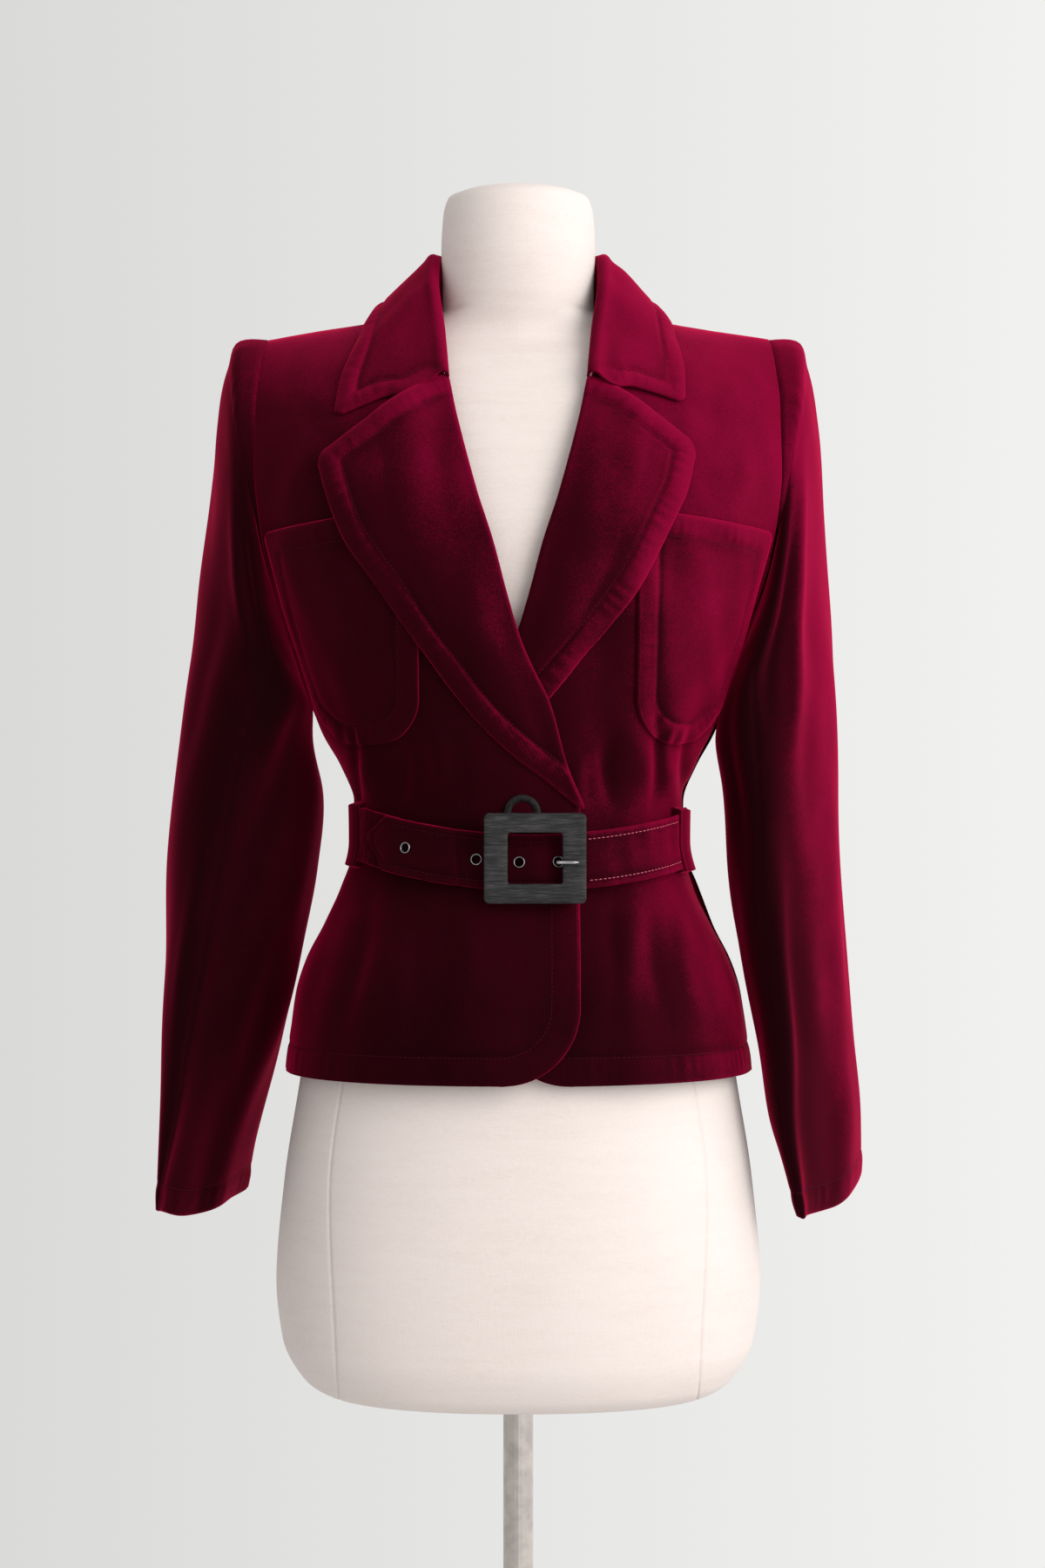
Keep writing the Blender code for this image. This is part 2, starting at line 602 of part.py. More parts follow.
def build_sleeve(name, side, rings, start_angle, end_angle, steps):
    """One panel of a two-piece sleeve, from one long seam to the other."""
    step = (end_angle - start_angle) / steps
    angles = [start_angle + step * (column - 1) for column in range(steps + 3)]
    centre = Vector()
    for number in range(SLEEVE_SIDES):
        centre += armhole_loop(side, 2 * math.pi * number / SLEEVE_SIDES) / SLEEVE_SIDES
    armhole = []
    for angle in angles:
        seam = armhole_loop(side, angle)
        armhole.append(seam + Vector((side * 2 * SEAM_GAP, 0.0, 0.0)))
    grid = [armhole]
    for ring in rings:
        grid.append([sleeve_ring(side, ring, angle) for angle in angles])
    outer, inner = [], []
    for row, ring in enumerate(grid):
        before = grid[max(row - 1, 0)]
        after = grid[min(row + 1, len(grid) - 1)]
        inner_row = []
        for column in range(1, steps + 2):
            point = ring[column]
            around = ring[column + 1] - ring[column - 1]
            along = after[column] - before[column]
            normal = around.cross(along).normalized() * side
            inward = point - normal * CLOTH
            if row == 0:
                towards = centre - point
                towards.x = 0.0
                inward = point + towards.normalized() * CLOTH
            inner_row.append(inward)
        outer.append(ring[1 : steps + 2])
        inner.append(inner_row)
    return add_wall(name, outer, inner, velvet())


def build_sleeve_pair(side_name, side, rings):
    """The top sleeve over the outer side and the under sleeve along the body."""
    front = math.radians(SLEEVE_FRONT_SEAM[side_name])
    rear = math.radians(SLEEVE_REAR_SEAM)
    gap = math.radians(SLEEVE_SEAM_GAP) / 2
    turn = 2 * math.pi
    top_name = "sleeve_%s_top" % side_name
    build_sleeve(top_name, side, rings, rear - turn + gap, front - gap, SLEEVE_TOP_STEPS)
    under_name = "sleeve_%s_under" % side_name
    build_sleeve(under_name, side, rings, front + gap, rear - gap, SLEEVE_UNDER_STEPS)


def build_lapel(name, side, edges):
    edge_at = curve(edges, "edge_x")
    bottom, top = edges[0].level, edges[-1].level
    outer, inner = [], []
    for row in range(LAPEL_ROWS + 1):
        part = row / LAPEL_ROWS
        outer_row, inner_row = [], []
        for column in range(LAPEL_COLUMNS + 1):
            share = column / LAPEL_COLUMNS
            level = bottom + (top - bottom) * part
            level += (LAPEL_INNER_TOP - top) * part**6 * (1 - share**LAPEL_TOP_BOW)
            edge_level = bottom + (top - bottom) * part
            roll_x = ROLL_AT(level) + LAPEL_ROLL_GAP
            edge_x = max(edge_at(edge_level), roll_x + LAPEL_LEAST_WIDTH)
            x = roll_x + (edge_x - roll_x) * share
            turn = side * turn_at(x, level)
            rise = LAPEL_EDGE_RISE * smooth_step(0.0, 0.6, share)
            rise *= smooth_step(LAPEL_RISE_STARTS, LAPEL_RISE_FULL, level)
            lift = front_lift(side, side * x) + LAPEL_LIFT + rise
            outer_row.append(body_point(turn, level, lift + CLOTH))
            inner_row.append(body_point(turn, level, lift))
        outer.append(outer_row)
        inner.append(inner_row)
    return add_wall(name, outer, inner, velvet())


def build_pocket(name, side, edges):
    inner_at, outer_at = curve(edges, "inner_x"), curve(edges, "outer_x")
    bottom, top = edges[0].level, edges[-1].level
    outer, inner = [], []
    for row in range(POCKET_ROWS + 1):
        part = (row / POCKET_ROWS) ** 1.6
        level = bottom + (top - bottom) * part
        drop = max(POCKET_CORNER - (level - bottom), 0.0)
        round_in = POCKET_CORNER - math.sqrt(max(POCKET_CORNER**2 - drop**2, 0.0))
        first, last = inner_at(level) + 0.8 * round_in, outer_at(level) - 0.5 * round_in
        outer_row, inner_row = [], []
        for column in range(POCKET_COLUMNS + 1):
            share = column / POCKET_COLUMNS
            x = first + (last - first) * share
            tilted = level - POCKET_TOP_SLANT * part**3 * (last - first) * (share - 0.5)
            turn = side * turn_at(x, tilted)
            lift = front_lift(side, side * x) + POCKET_LIFT
            outer_row.append(body_point(turn, tilted, lift + CLOTH))
            inner_row.append(body_point(turn, tilted, lift))
        outer.append(outer_row)
        inner.append(inner_row)
    return add_wall(name, outer, inner, velvet())


def gorge_level(side, x):
    """Level of the lapel's top edge, which the collar's end meets as far as the notch."""
    tip = (LAPEL_RIGHT if side < 0 else LAPEL_LEFT)[-1]
    first = ROLL_AT(LAPEL_INNER_TOP)
    share = min(max((x - first) / (tip.edge_x - first), 0.0), 1.0)
    return tip.level + (LAPEL_INNER_TOP - tip.level) * (1 - share**LAPEL_TOP_BOW)


def to_gorge(side, around, point):
    """A point of the collar's leaf, drawn down to the gorge seam near the front end."""
    x = abs(point.x)
    notch = NOTCH_RIGHT_X if side < 0 else NOTCH_LEFT_X
    near = smooth_step(0.80, 1.0, abs(around)) * smooth_step(notch + 0.010, notch - 0.006, x)
    level = gorge_level(side, x) + GORGE_GAP
    lift = front_lift(side, point.x) + LAPEL_LIFT + CLOTH + COLLAR_LEAF_LIFT
    return point.lerp(body_point(side * turn_at(x, level), level, lift), near)


def collar_profile(around):
    """Middle line of the folded collar at a place from -1 (right end) over the back to 1."""
    side = math.copysign(1.0, around)
    at = {field: COLLAR_AT[field](abs(around)) for field in CollarRow._fields[1:]}
    fold = Vector((side * at["fold_x"], at["fold_y"], at["fold_z"]))
    foot = Vector((side * at["foot_x"], at["foot_y"], at["foot_z"]))
    skew = smooth_step(0.6, 1.0, abs(around))
    leaf_level = SHOULDER_LEVEL - abs(at["leaf_drop"])
    leaf_x = at["leaf_x"] + COLLAR_LEFT_REACH * skew
    if side < 0:
        leaf_level -= COLLAR_RIGHT_DROP * skew
        leaf_x = at["leaf_x"] + COLLAR_RIGHT_REACH * skew
    turn = turn_at(leaf_x, leaf_level)
    if at["leaf_drop"] < 0:
        turn = 2 - turn
    leaf = body_point(side * turn, leaf_level, COLLAR_LEAF_LIFT)
    leaf.z += COLLAR_LEAF_LIFT * smooth_step(0.022, 0.008, abs(at["leaf_drop"]))
    away = leaf - foot
    away.z = 0.0
    away.normalize()
    inside = fold - away * COLLAR_FOLD_RADIUS
    outside = fold + away * COLLAR_FOLD_RADIUS
    drop = Vector((0.0, 0.0, -COLLAR_FOLD_RADIUS))
    profile = [foot, foot.lerp(inside + drop, 0.55), inside + drop]
    for angle in (45, 90, 135):
        turned = math.radians(angle)
        ride = -away * math.cos(turned) * COLLAR_FOLD_RADIUS
        profile.append(fold + ride + drop * (1 - math.sin(turned)))
    for share in (0.0, 0.25, 0.5, 0.75, 1.0):
        point = (outside + drop).lerp(leaf, share)
        swell = COLLAR_LEAF_SWELL * math.sin(math.pi * share)
        point += (away * 0.6 + Vector((0.0, 0.0, 0.8))) * swell
        profile.append(to_gorge(side, around, point))
    return profile


COLLAR_AT = {name: curve(COLLAR, name, "around") for name in CollarRow._fields[1:]}


def build_collar():
    grid = [collar_profile(2 * row / COLLAR_ROWS - 1) for row in range(COLLAR_ROWS + 1)]
    outer, inner = [], []
    columns = len(grid[0])
    for row, profile in enumerate(grid):
        before, after = grid[max(row - 1, 0)], grid[min(row + 1, COLLAR_ROWS)]
        outer_row, inner_row = [], []
        for column, point in enumerate(profile):
            across = profile[min(column + 1, columns - 1)] - profile[max(column - 1, 0)]
            normal = across.cross(after[column] - before[column]).normalized()
            outer_row.append(point + normal * CLOTH / 2)
            inner_row.append(point - normal * CLOTH / 2)
        outer.append(outer_row)
        inner.append(inner_row)
    return add_wall("collar", outer, inner, velvet())


def level_point(turn, level, lift):
    """A point at a level distance from the jacket's outside, for the upright belt."""
    normal = outward(turn, level)
    normal.z = 0.0
    return plain_point(turn, level) + normal.normalized() * lift


def belt_middle(turn):
    """The belt's middle height, which dips towards the centre front."""
    place = plain_point(turn, BELT_LEVEL_SIDE)
    if place.y > 0:
        return BELT_LEVEL_SIDE
    part = (place.x - BELT_DIP_CENTRE_X) / BELT_DIP_HALF_WIDTH
    return BELT_LEVEL_SIDE - BELT_FRONT_DIP * max(1 - part * part, 0.0)


def belt_place(along):
    """Where a place along the belt lies: its turn, and how far it has climbed over the first layer."""
    if along > -2:
        return along, 0.0
    turn = along + 4
    return turn, BELT_LAYER * smooth_step(1.0, 0.45, turn)


def belt_lift(along):
    """How far the belt's underside stands off the jacket, clear of the lapped fronts."""
    turn, climb = belt_place(along)
    return BELT_LIFT + OVERLAP_RISE * smooth_step(0.95, 0.6, abs(turn)) + climb


def belt_point(along, height, depth):
    """A point of the belt: height from its middle line, depth from its underside."""
    turn = belt_place(along)[0]
    lift = belt_lift(along)
    window = (plain_point(turn, BELT_LEVEL_SIDE).x - BUCKLE_CENTRE.x) / (BUCKLE_WINDOW[0] / 2)
    if along < -3 and abs(window) < 1:
        crown = 1 - (2 * height / BELT_HEIGHT) ** 2
        lift += WINDOW_BULGE * crown * math.cos(window * math.pi / 2) ** 2
    return level_point(turn, belt_middle(turn) + height, lift + depth)


def belt_turn(x):
    """The turn of the front point of the belt at x."""
    return turn_at(x, BELT_LEVEL_SIDE)


def belt_half(along):
    """Half the belt's height, cut to a point at the tip."""
    half = BELT_HEIGHT / 2
    if along > -3.2:
        return half
    left = plain_point(along + 4, BELT_LEVEL_SIDE).x - BELT_TIP_X
    return half * (0.15 + 0.85 * min(max(left, 0.0) / BELT_TIP_POINT, 1.0))


def build_belt():
    """One strip from its inner end under the buckle, round the back, to the tip over that end."""
    first, last = belt_turn(BELT_INNER_END_X), belt_turn(BELT_TIP_X) - 4
    shoulder = belt_turn(BELT_TIP_X + BELT_TIP_POINT) - 4
    places = [first + (shoulder - first) * step / BELT_STEPS for step in range(BELT_STEPS + 1)]
    places.append(last)
    outer, inner = [], []
    for along in places:
        heights = [belt_half(along) * share for share in (-1.0, 0.0, 1.0)]
        outer.append([belt_point(along, height, BELT_WALL) for height in heights])
        inner.append([belt_point(along, height, 0.0) for height in heights])
    return add_wall("belt", outer, inner, velvet())


def build_loop(name, side, x):
    """A narrow carrier that stands over the belt and comes down to the jacket at both ends."""
    middle_turn = belt_turn(x)
    middle = belt_middle(middle_turn)
    under = middle_turn if side < 0 else middle_turn - 4
    rise = belt_lift(under) + BELT_WALL + LOOP_CLEARANCE - LOOP_END_LIFT
    reach = BELT_HEIGHT / 2 + LOOP_REACH
    outer, inner = [], []
    for share in (-1.0, -0.96, -0.88, -0.5, 0.0, 0.5, 0.88, 0.96, 1.0):
        level = middle + share * reach
        lift = LOOP_END_LIFT + rise * smooth_step(1.0, 0.90, abs(share))
        outer_row, inner_row = [], []
        for edge in (-0.5, 0.0, 0.5):
            turn = side * turn_at(abs(x) + edge * LOOP_WIDTH, BELT_LEVEL_SIDE)
            outer_row.append(level_point(turn, level, lift + LOOP_WALL))
            inner_row.append(level_point(turn, level, lift))
        outer.append(outer_row)
        inner.append(inner_row)
    return add_wall(name, outer, inner, velvet())


def strap_outside(x, height=0.0):
    """The outside of the belt's outer layer at the front."""
    return belt_point(belt_turn(x) - 4, height, BELT_WALL)


def strap_normal(x):
    """The outward direction of the outer layer, from small steps along and across it."""
    step = 0.006
    along = strap_outside(x + step) - strap_outside(x - step)
    across = strap_outside(x, step) - strap_outside(x, -step)
    return along.cross(across).normalized()


def build_buckle():
    """A flat frame with rounded corners, its window cut right through."""
    black = material("black_grained", (0.012, 0.011, 0.011), 0.45)
    back_y = buckle_back()
    builder = bmesh.new()
    bmesh.ops.create_cube(builder, size=1.0)
    scale = Vector((BUCKLE_WIDTH, BUCKLE_WALL, BUCKLE_HEIGHT))
    bmesh.ops.scale(builder, vec=scale, verts=builder.verts[:])
    upright = [
        edge for edge in builder.edges if abs(edge.verts[0].co.y - edge.verts[1].co.y) > 1e-6
    ]
    bmesh.ops.bevel(
        builder, geom=upright, offset=BUCKLE_CORNER, segments=3, profile=0.5, affect="EDGES"
    )
    mesh = bpy.data.meshes.new("buckle")
    builder.to_mesh(mesh)
    builder.free()
    mesh.materials.append(black)
    frame = bpy.data.objects.new("buckle", mesh)
    frame.location = (BUCKLE_CENTRE.x, back_y - BUCKLE_WALL / 2, BUCKLE_CENTRE.z)
    bpy.context.scene.collection.objects.link(frame)
    window = add_box("buckle_window_cut", (BUCKLE_WINDOW[0], 0.03, BUCKLE_WINDOW[1]), frame.location)
    cut(frame, window)
    return frame


def add_box(name, size, place):
    builder = bmesh.new()
    bmesh.ops.create_cube(builder, size=1.0)
    bmesh.ops.scale(builder, vec=Vector(size), verts=builder.verts[:])
    mesh = bpy.data.meshes.new(name)
    builder.to_mesh(mesh)
    builder.free()
    made = bpy.data.objects.new(name, mesh)
    made.location = place
    bpy.context.scene.collection.objects.link(made)
    return made


def cut(target, cutter):
    cutter.hide_render = True
    cutter.display_type = "WIRE"
    modifier = target.modifiers.new("cut", "BOOLEAN")
    modifier.operation = "DIFFERENCE"
    modifier.solver = "EXACT"
    modifier.object = cutter


def buckle_back():
    """The frame's rear plane just clears the strap, the button and the fronts behind it."""
    furthest = 0.0
    for step in range(-8, 9):
        x = BUCKLE_CENTRE.x + BUCKLE_WIDTH / 2 * step / 8
        for edge in (-0.5, 0.5):
            furthest = min(furthest, strap_outside(x, edge * BELT_HEIGHT).y)
        for rim in (-0.5, 0.5):
            level = BUCKLE_CENTRE.z + rim * BUCKLE_HEIGHT
            lift = front_lift(-1, min(x, FRONT_LAP_RIGHT))
            furthest = min(furthest, body_point(turn_at(x, level), level, lift).y)
    furthest = min(furthest, button_front_y())
    return furthest - 2 * SEAM_GAP


def button_back_y():
    x, level = BUTTON_CENTRE
    rows = [level - BUTTON_RADIUS, level, level + BUTTON_RADIUS]
    places = [x - BUTTON_RADIUS, x, x + BUTTON_RADIUS]
    lift = OVERLAP_RISE
    return min(body_point(turn_at(a, b), b, lift).y for a in places for b in rows) - SEAM_GAP


def button_front_y():
    return button_back_y() - BUTTON_WALL


def turned(name, profile, centre, axis, sides, finish):
    """A turned body: profile rows are (distance along the axis, radius); closed at both ends."""
    axis = Vector(axis).normalized()
    across = axis.orthogonal().normalized()
    third = axis.cross(across)
    rings = []
    for along, radius in profile:
        ring = []
        for side in range(sides):
            angle = 2 * math.pi * side / sides
            spoke = across * math.cos(angle) + third * math.sin(angle)
            ring.append(Vector(centre) + axis * along + spoke * radius)
        rings.append(ring)
    return add_rings(name, rings, finish)


def turned_ring(name, profile, centre, axis, sides, finish):
    """A turned body with a hole through it: the profile is a closed loop of (along, radius)."""
    axis = Vector(axis).normalized()
    across = axis.orthogonal().normalized()
    third = axis.cross(across)
    points, faces = [], []
    count = len(profile)
    for side in range(sides):
        angle = 2 * math.pi * side / sides
        spoke = across * math.cos(angle) + third * math.sin(angle)
        for along, radius in profile:
            points.append(Vector(centre) + axis * along + spoke * radius)
    for side in range(sides):
        for corner in range(count):
            after = (corner + 1) % count
            other = (side + 1) % sides
            faces.append(
                (
                    side * count + corner,
                    side * count + after,
                    other * count + after,
                    other * count + corner,
                )
            )
    return add_object(name, points, faces, finish)


def build_button():
    black = material("black_button", (0.01, 0.009, 0.01), 0.35)
    x, level = BUTTON_CENTRE
    wall = BUTTON_WALL
    profile = (
        (0.0, BUTTON_RADIUS * 0.86),
        (wall * 0.35, BUTTON_RADIUS),
        (wall * 0.65, BUTTON_RADIUS),
        (wall, BUTTON_RADIUS * 0.86),
        (wall, BUTTON_RADIUS * 0.62),
        (wall * 0.8, BUTTON_RADIUS * 0.55),
    )
    return turned("button", profile, (x, button_back_y(), level), (0, -1, 0), 20, black)


def build_eyelets(belt):
    steel = material("nickel", (0.55, 0.55, 0.56), 0.25, 1.0)
    for number, x in enumerate(EYELET_X, 1):
        place, normal = strap_outside(x), strap_normal(x)
        hole = turned(
            "eyelet_hole_cut_%d" % number,
            ((-0.0025, EYELET_BARREL + SEAM_GAP), (0.001, EYELET_BARREL + SEAM_GAP)),
            place,
            normal,
            12,
            steel,
        )
        cut(belt, hole)
        profile = (
            (EYELET_LIFT, EYELET_RADIUS),
            (EYELET_LIFT + EYELET_RISE, EYELET_RADIUS * 0.85),
            (EYELET_LIFT + EYELET_RISE, EYELET_BORE),
            (-BELT_WALL, EYELET_BORE),
            (-BELT_WALL, EYELET_BARREL),
            (EYELET_LIFT, EYELET_BARREL),
        )
        turned_ring("eyelet_%d" % number, profile, place, normal, 12, steel)


def build_prong():
    """A bent steel tongue from the last eyelet, lying on the frame's left side."""
    steel = material("nickel", (0.55, 0.55, 0.56), 0.25, 1.0)
    place = strap_outside(EYELET_X[-1])
    level = place.z
    front = buckle_back() - BUCKLE_WALL
    rest = front - PRONG_RADIUS - SEAM_GAP
    inner_side = BUCKLE_CENTRE.x + BUCKLE_WINDOW[0] / 2
    route = (
        Vector((place.x, place.y + 0.0012, level)),
        Vector((place.x, place.y - 0.0012, level)),
        Vector((place.x + 0.0012, (place.y + rest) / 2, level)),
        Vector((inner_side - 0.0030, rest - 0.0002, level)),
        Vector((inner_side + 0.0005, rest, level)),
        Vector((inner_side + 0.0110, rest, level)),
    )
    data = bpy.data.curves.new("buckle_prong", "CURVE")
    data.dimensions = "3D"
    spline = data.splines.new("POLY")
    spline.points.add(len(route) - 1)
    for point, corner in zip(spline.points, route):
        point.co = (*corner, 1.0)
    data.bevel_depth = PRONG_RADIUS
    data.bevel_resolution = 2
    data.use_fill_caps = True
    data.materials.append(steel)
    made = bpy.data.objects.new("buckle_prong", data)
    bpy.context.scene.collection.objects.link(made)


def build_form():
    linen = material("cream_linen", (0.80, 0.72, 0.66), 0.9)
    rings = []
    for row in FORM:
        ring = []
        for side in range(FORM_SIDES):
            angle = 2 * math.pi * side / FORM_SIDES
            sine, cosine = math.sin(angle), math.cos(angle)
            depth = row.front if cosine > 0 else row.back
            power = 2 / row.squareness
            x = row.half_width * math.copysign(abs(sine) ** power, sine)
            y = row.middle - depth * math.copysign(abs(cosine) ** power, cosine)
            ring.append(Vector((x, y, row.level)))
        rings.append(ring)
    return add_rings("form_torso", rings, linen)


def build_stand():
    steel = material("brushed_steel", (0.62, 0.61, 0.60), 0.3, 1.0)
    top = FORM_BOTTOM - SEAM_GAP
    foot = BASE_HEIGHT + SEAM_GAP
    pole = ((foot, POLE_RADIUS), (top, POLE_RADIUS))
    turned("stand_pole", pole, (0, 0, 0), (0, 0, 1), 24, steel)
    dark = material("stand_steel", (0.45, 0.44, 0.43), 0.35, 1.0)
    base = (
        (0.0, BASE_RADIUS),
        (0.006, BASE_RADIUS),
        (0.010, BASE_RADIUS - 0.003),
        (0.014, BASE_RADIUS * 0.55),
        (0.018, POLE_RADIUS * 2.2),
        (BASE_HEIGHT, POLE_RADIUS * 1.8),
    )
    turned("stand_base", base, (0, 0, 0), (0, 0, 1), 36, dark)


def main():
    for old in list(bpy.data.objects):
        bpy.data.objects.remove(old, do_unlink=True)
    build_front("front_right", -1)
    build_front("front_left", 1)
    build_back()
    build_sleeve_pair("right", -1, SLEEVE_RIGHT)
    build_sleeve_pair("left", 1, SLEEVE_LEFT)
    build_collar()
    build_lapel("lapel_right", -1, LAPEL_RIGHT)
    build_lapel("lapel_left", 1, LAPEL_LEFT)
    build_pocket("pocket_right", -1, POCKET_RIGHT)
    build_pocket("pocket_left", 1, POCKET_LEFT)
    belt = build_belt()
    build_loop("belt_loop_right", -1, LOOP_RIGHT_X)
    build_loop("belt_loop_left", 1, LOOP_LEFT_X)
    build_eyelets(belt)
    build_buckle()
    build_prong()
    build_button()
    build_form()
    build_stand()


main()
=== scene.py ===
"""The looks of a belted velvet jacket on a limbless dress form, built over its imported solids.

Metres, Z up, the front faces -Y. Right and left are the wearer's: the wearer's left is at +X.
The cloth pieces repeat the solids' tables at a finer mesh and add creases, hems and stitches.
"""
import math
from collections import namedtuple

import bmesh
import bpy
import numpy as np
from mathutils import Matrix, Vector


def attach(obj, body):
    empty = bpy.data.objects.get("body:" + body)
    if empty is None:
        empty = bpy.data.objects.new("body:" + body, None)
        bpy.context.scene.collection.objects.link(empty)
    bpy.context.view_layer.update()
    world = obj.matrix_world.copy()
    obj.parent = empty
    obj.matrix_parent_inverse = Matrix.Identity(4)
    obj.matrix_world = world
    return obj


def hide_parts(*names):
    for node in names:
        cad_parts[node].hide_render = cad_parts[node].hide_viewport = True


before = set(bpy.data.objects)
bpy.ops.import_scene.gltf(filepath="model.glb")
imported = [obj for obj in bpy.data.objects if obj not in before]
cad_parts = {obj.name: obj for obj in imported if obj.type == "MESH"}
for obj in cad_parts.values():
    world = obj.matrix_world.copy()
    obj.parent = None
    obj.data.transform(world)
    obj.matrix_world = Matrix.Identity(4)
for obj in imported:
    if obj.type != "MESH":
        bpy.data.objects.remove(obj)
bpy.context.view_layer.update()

# Photograph's camera
CAMERA_PLACE = (0.003, -2.0, 1.080)
CAMERA_LENS = 64.5
CAMERA_SENSOR = 36.0

# Sizes of the jacket
CLOTH = 0.0018
SEAM_GAP = 0.0003
SIDE_SEAM_TURN = 0.0016
HEM_LEVEL = 0.878
SHOULDER_LEVEL = 1.4274
SHOULDER_FALL = 0.165
SHOULDER_FALL_STARTS = 1.25
SHOULDER_FALL_FULL = 1.42
SHOULDER_SEAM_ZONE = 1.400
NECK_SQUEEZE_LEVEL = 1.300
BACK_NECK_DIP = 0.024
UNDERARM_LEVEL = 1.200
FRONT_LAP_RIGHT = 0.041
FRONT_LAP_LEFT = 0.0165
HEM_CORNER_RADIUS = 0.052
OVERLAP_RISE = 0.0025
UNDERLAP_SINK = 0.0020
LAPEL_LIFT = 0.0004
LAPEL_EDGE_RISE = 0.0046
LAPEL_RISE_STARTS = 1.157
LAPEL_RISE_FULL = 1.187
LAPEL_LEAST_WIDTH = 0.002
LAPEL_ROLL_WIDTH = 0.0034
LAPEL_INNER_TOP = 1.3668
LAPEL_TOP_BOW = 1.3
LAPEL_CORNER = 0.008
NOTCH_RIGHT_X = 0.080
NOTCH_LEFT_X = 0.068
# Below zero: the collar's ends lap over the lapels
GORGE_GAP = -0.0022
POCKET_LIFT = 0.0013
POCKET_CORNER = 0.030
POCKET_TOP_CORNER = 0.006
POCKET_TOP_SLANT = 0.11
COLLAR_FOLD_RADIUS = 0.0042
COLLAR_LEAF_LIFT = 0.0026
COLLAR_LEAF_SWELL = 0.0008
COLLAR_CORNER = 0.007
COLLAR_RIGHT_DROP = 0.010
COLLAR_RIGHT_REACH = 0.006
COLLAR_LEFT_REACH = -0.005
SLEEVE_MIDDLE_TOP = 0.006
SLEEVE_MIDDLE_SWING = 0.010
SLEEVE_HOLLOW_WAY = (-0.75, 0.65)
SLEEVE_HOLLOW_SPREAD = 0.16
SLEEVE_UNDERARM_EASE = 0.0012
SLEEVE_SEAM_TURNS = (94.0, 262.0)

# Sizes of the belt and its hardware
BELT_HEIGHT = 0.036
BELT_WALL = 0.0018
BELT_LIFT = 0.0016
BELT_LAYER = 0.0030
BELT_LEVEL_SIDE = 1.0445
BELT_FRONT_DIP = 0.0175
BELT_DIP_CENTRE_X = 0.010
BELT_DIP_HALF_WIDTH = 0.112
BELT_TIP_X = -0.0975
BELT_TIP_POINT = 0.012
BELT_INNER_END_X = -0.012
LOOP_X = {"right": -0.1085, "left": 0.1095}
LOOP_REACH = 0.005
LOOP_WIDTH = 0.007
LOOP_WALL = 0.0012
LOOP_END_LIFT = 0.0012
LOOP_CLEARANCE = 0.0014
BUCKLE_WIDTH = 0.069
BUCKLE_HEIGHT = 0.061
BUCKLE_WALL = 0.0065
BUCKLE_CORNER = 0.0038
BUCKLE_SOFT_EDGE = 0.0011
BUCKLE_X = 0.0115
BUCKLE_LEVEL = 1.030
BUCKLE_WINDOW_WIDTH = 0.037
BUCKLE_WINDOW_HEIGHT = 0.0345
BUCKLE_WINDOW_CORNER = 0.0018
WINDOW_BULGE = 0.0022
EYELET_X = (-0.0722, -0.0263, 0.0008, 0.0250)
EYELET_RADIUS = 0.0040
EYELET_BORE = 0.0030
PRONG_RADIUS = 0.0012
BUTTON_RADIUS = 0.0125
BUTTON_WALL = 0.0034
BUTTON_X = 0.003
BUTTON_LEVEL = 1.0605

# Stitched bands: how far inside an edge the stitches run, and the stitches themselves
LAPEL_BAND = 0.0155
COLLAR_BAND = 0.0135
POCKET_BAND = 0.0150
HEM_BAND = 0.0185
CUFF_BAND = 0.0170
BELT_BAND = 0.0040
STITCH_PITCH = 0.0031
STITCH_LENGTH = 0.0022
STITCH_RADIUS = 0.00024
BELT_STITCH_PITCH = 0.0033
BELT_STITCH_RADIUS = 0.00022
ROSE_STITCH_RADIUS = 0.00028

# Height of a sewn band's puffed edge, depth of its groove and height of its puckers
Relief = namedtuple("Relief", "puff groove pucker")
HEM_RELIEF = Relief(0.0004, 0.0006, 0.00035)
CUFF_RELIEF = Relief(0.0004, 0.0006, 0.0003)
LAPEL_RELIEF = Relief(0.0013, 0.0011, 0.00028)
POCKET_RELIEF = Relief(0.0007, 0.0008, 0.00022)
COLLAR_RELIEF = Relief(0.0011, 0.0010, 0.00028)

# Fineness of the meshes
FRONT_ROWS = 190
FRONT_CORNER_ROWS = 26
FRONT_EDGE_ROWS = 60
FRONT_COLUMNS = 90
BACK_ROWS = 180
BACK_COLUMNS = 150
SLEEVE_ROWS = 210
SLEEVE_COLUMNS = 128
LAPEL_ROWS = 130
LAPEL_COLUMNS = 56
LAPEL_ROLL_STEPS = 9
POCKET_ROWS = 96
POCKET_COLUMNS = 64
COLLAR_COLUMNS = 220
COLLAR_STAND_ROWS = 14
COLLAR_FOLD_ROWS = 15
COLLAR_LEAF_ROWS = 44
BELT_ROWS = 620
BELT_COLUMNS = 27
BELT_MIDDLE_COLUMN = 13
BELT_STITCH_COLUMN = 10
STITCH_SIDES = 5

# Where the belt holds the cloth still
WAIST_FRONT_LEVEL = 1.035
WAIST_BACK_LEVEL = 1.045
WAIST_SPREAD = 0.022

# Fields of a piece of cloth's flat cut in metres and square metres, how it is held and what it lies on; no
# piece is given one
Cut = namedtuple("Cut", "piece width length area held rests_on")
FORM_SEAM_DEPTH = 0.0007
FORM_SEAM_SHARE = 0.010

# Where the sleeve's inner side lies against the body, and how far it is pressed there
SLEEVE_SNUG_LEVEL = 1.166
SLEEVE_SNUG_SPREAD = 0.035
SLEEVE_SNUG_LEFT = 0.0055
SLEEVE_SNUG_RIGHT = 0.0025

# How far the cuff's outer and inner sides hang above its middle
CUFF_OUTER_RISE = 0.013
CUFF_INNER_RISE = 0.005
CUFF_RISE_STARTS = 0.78

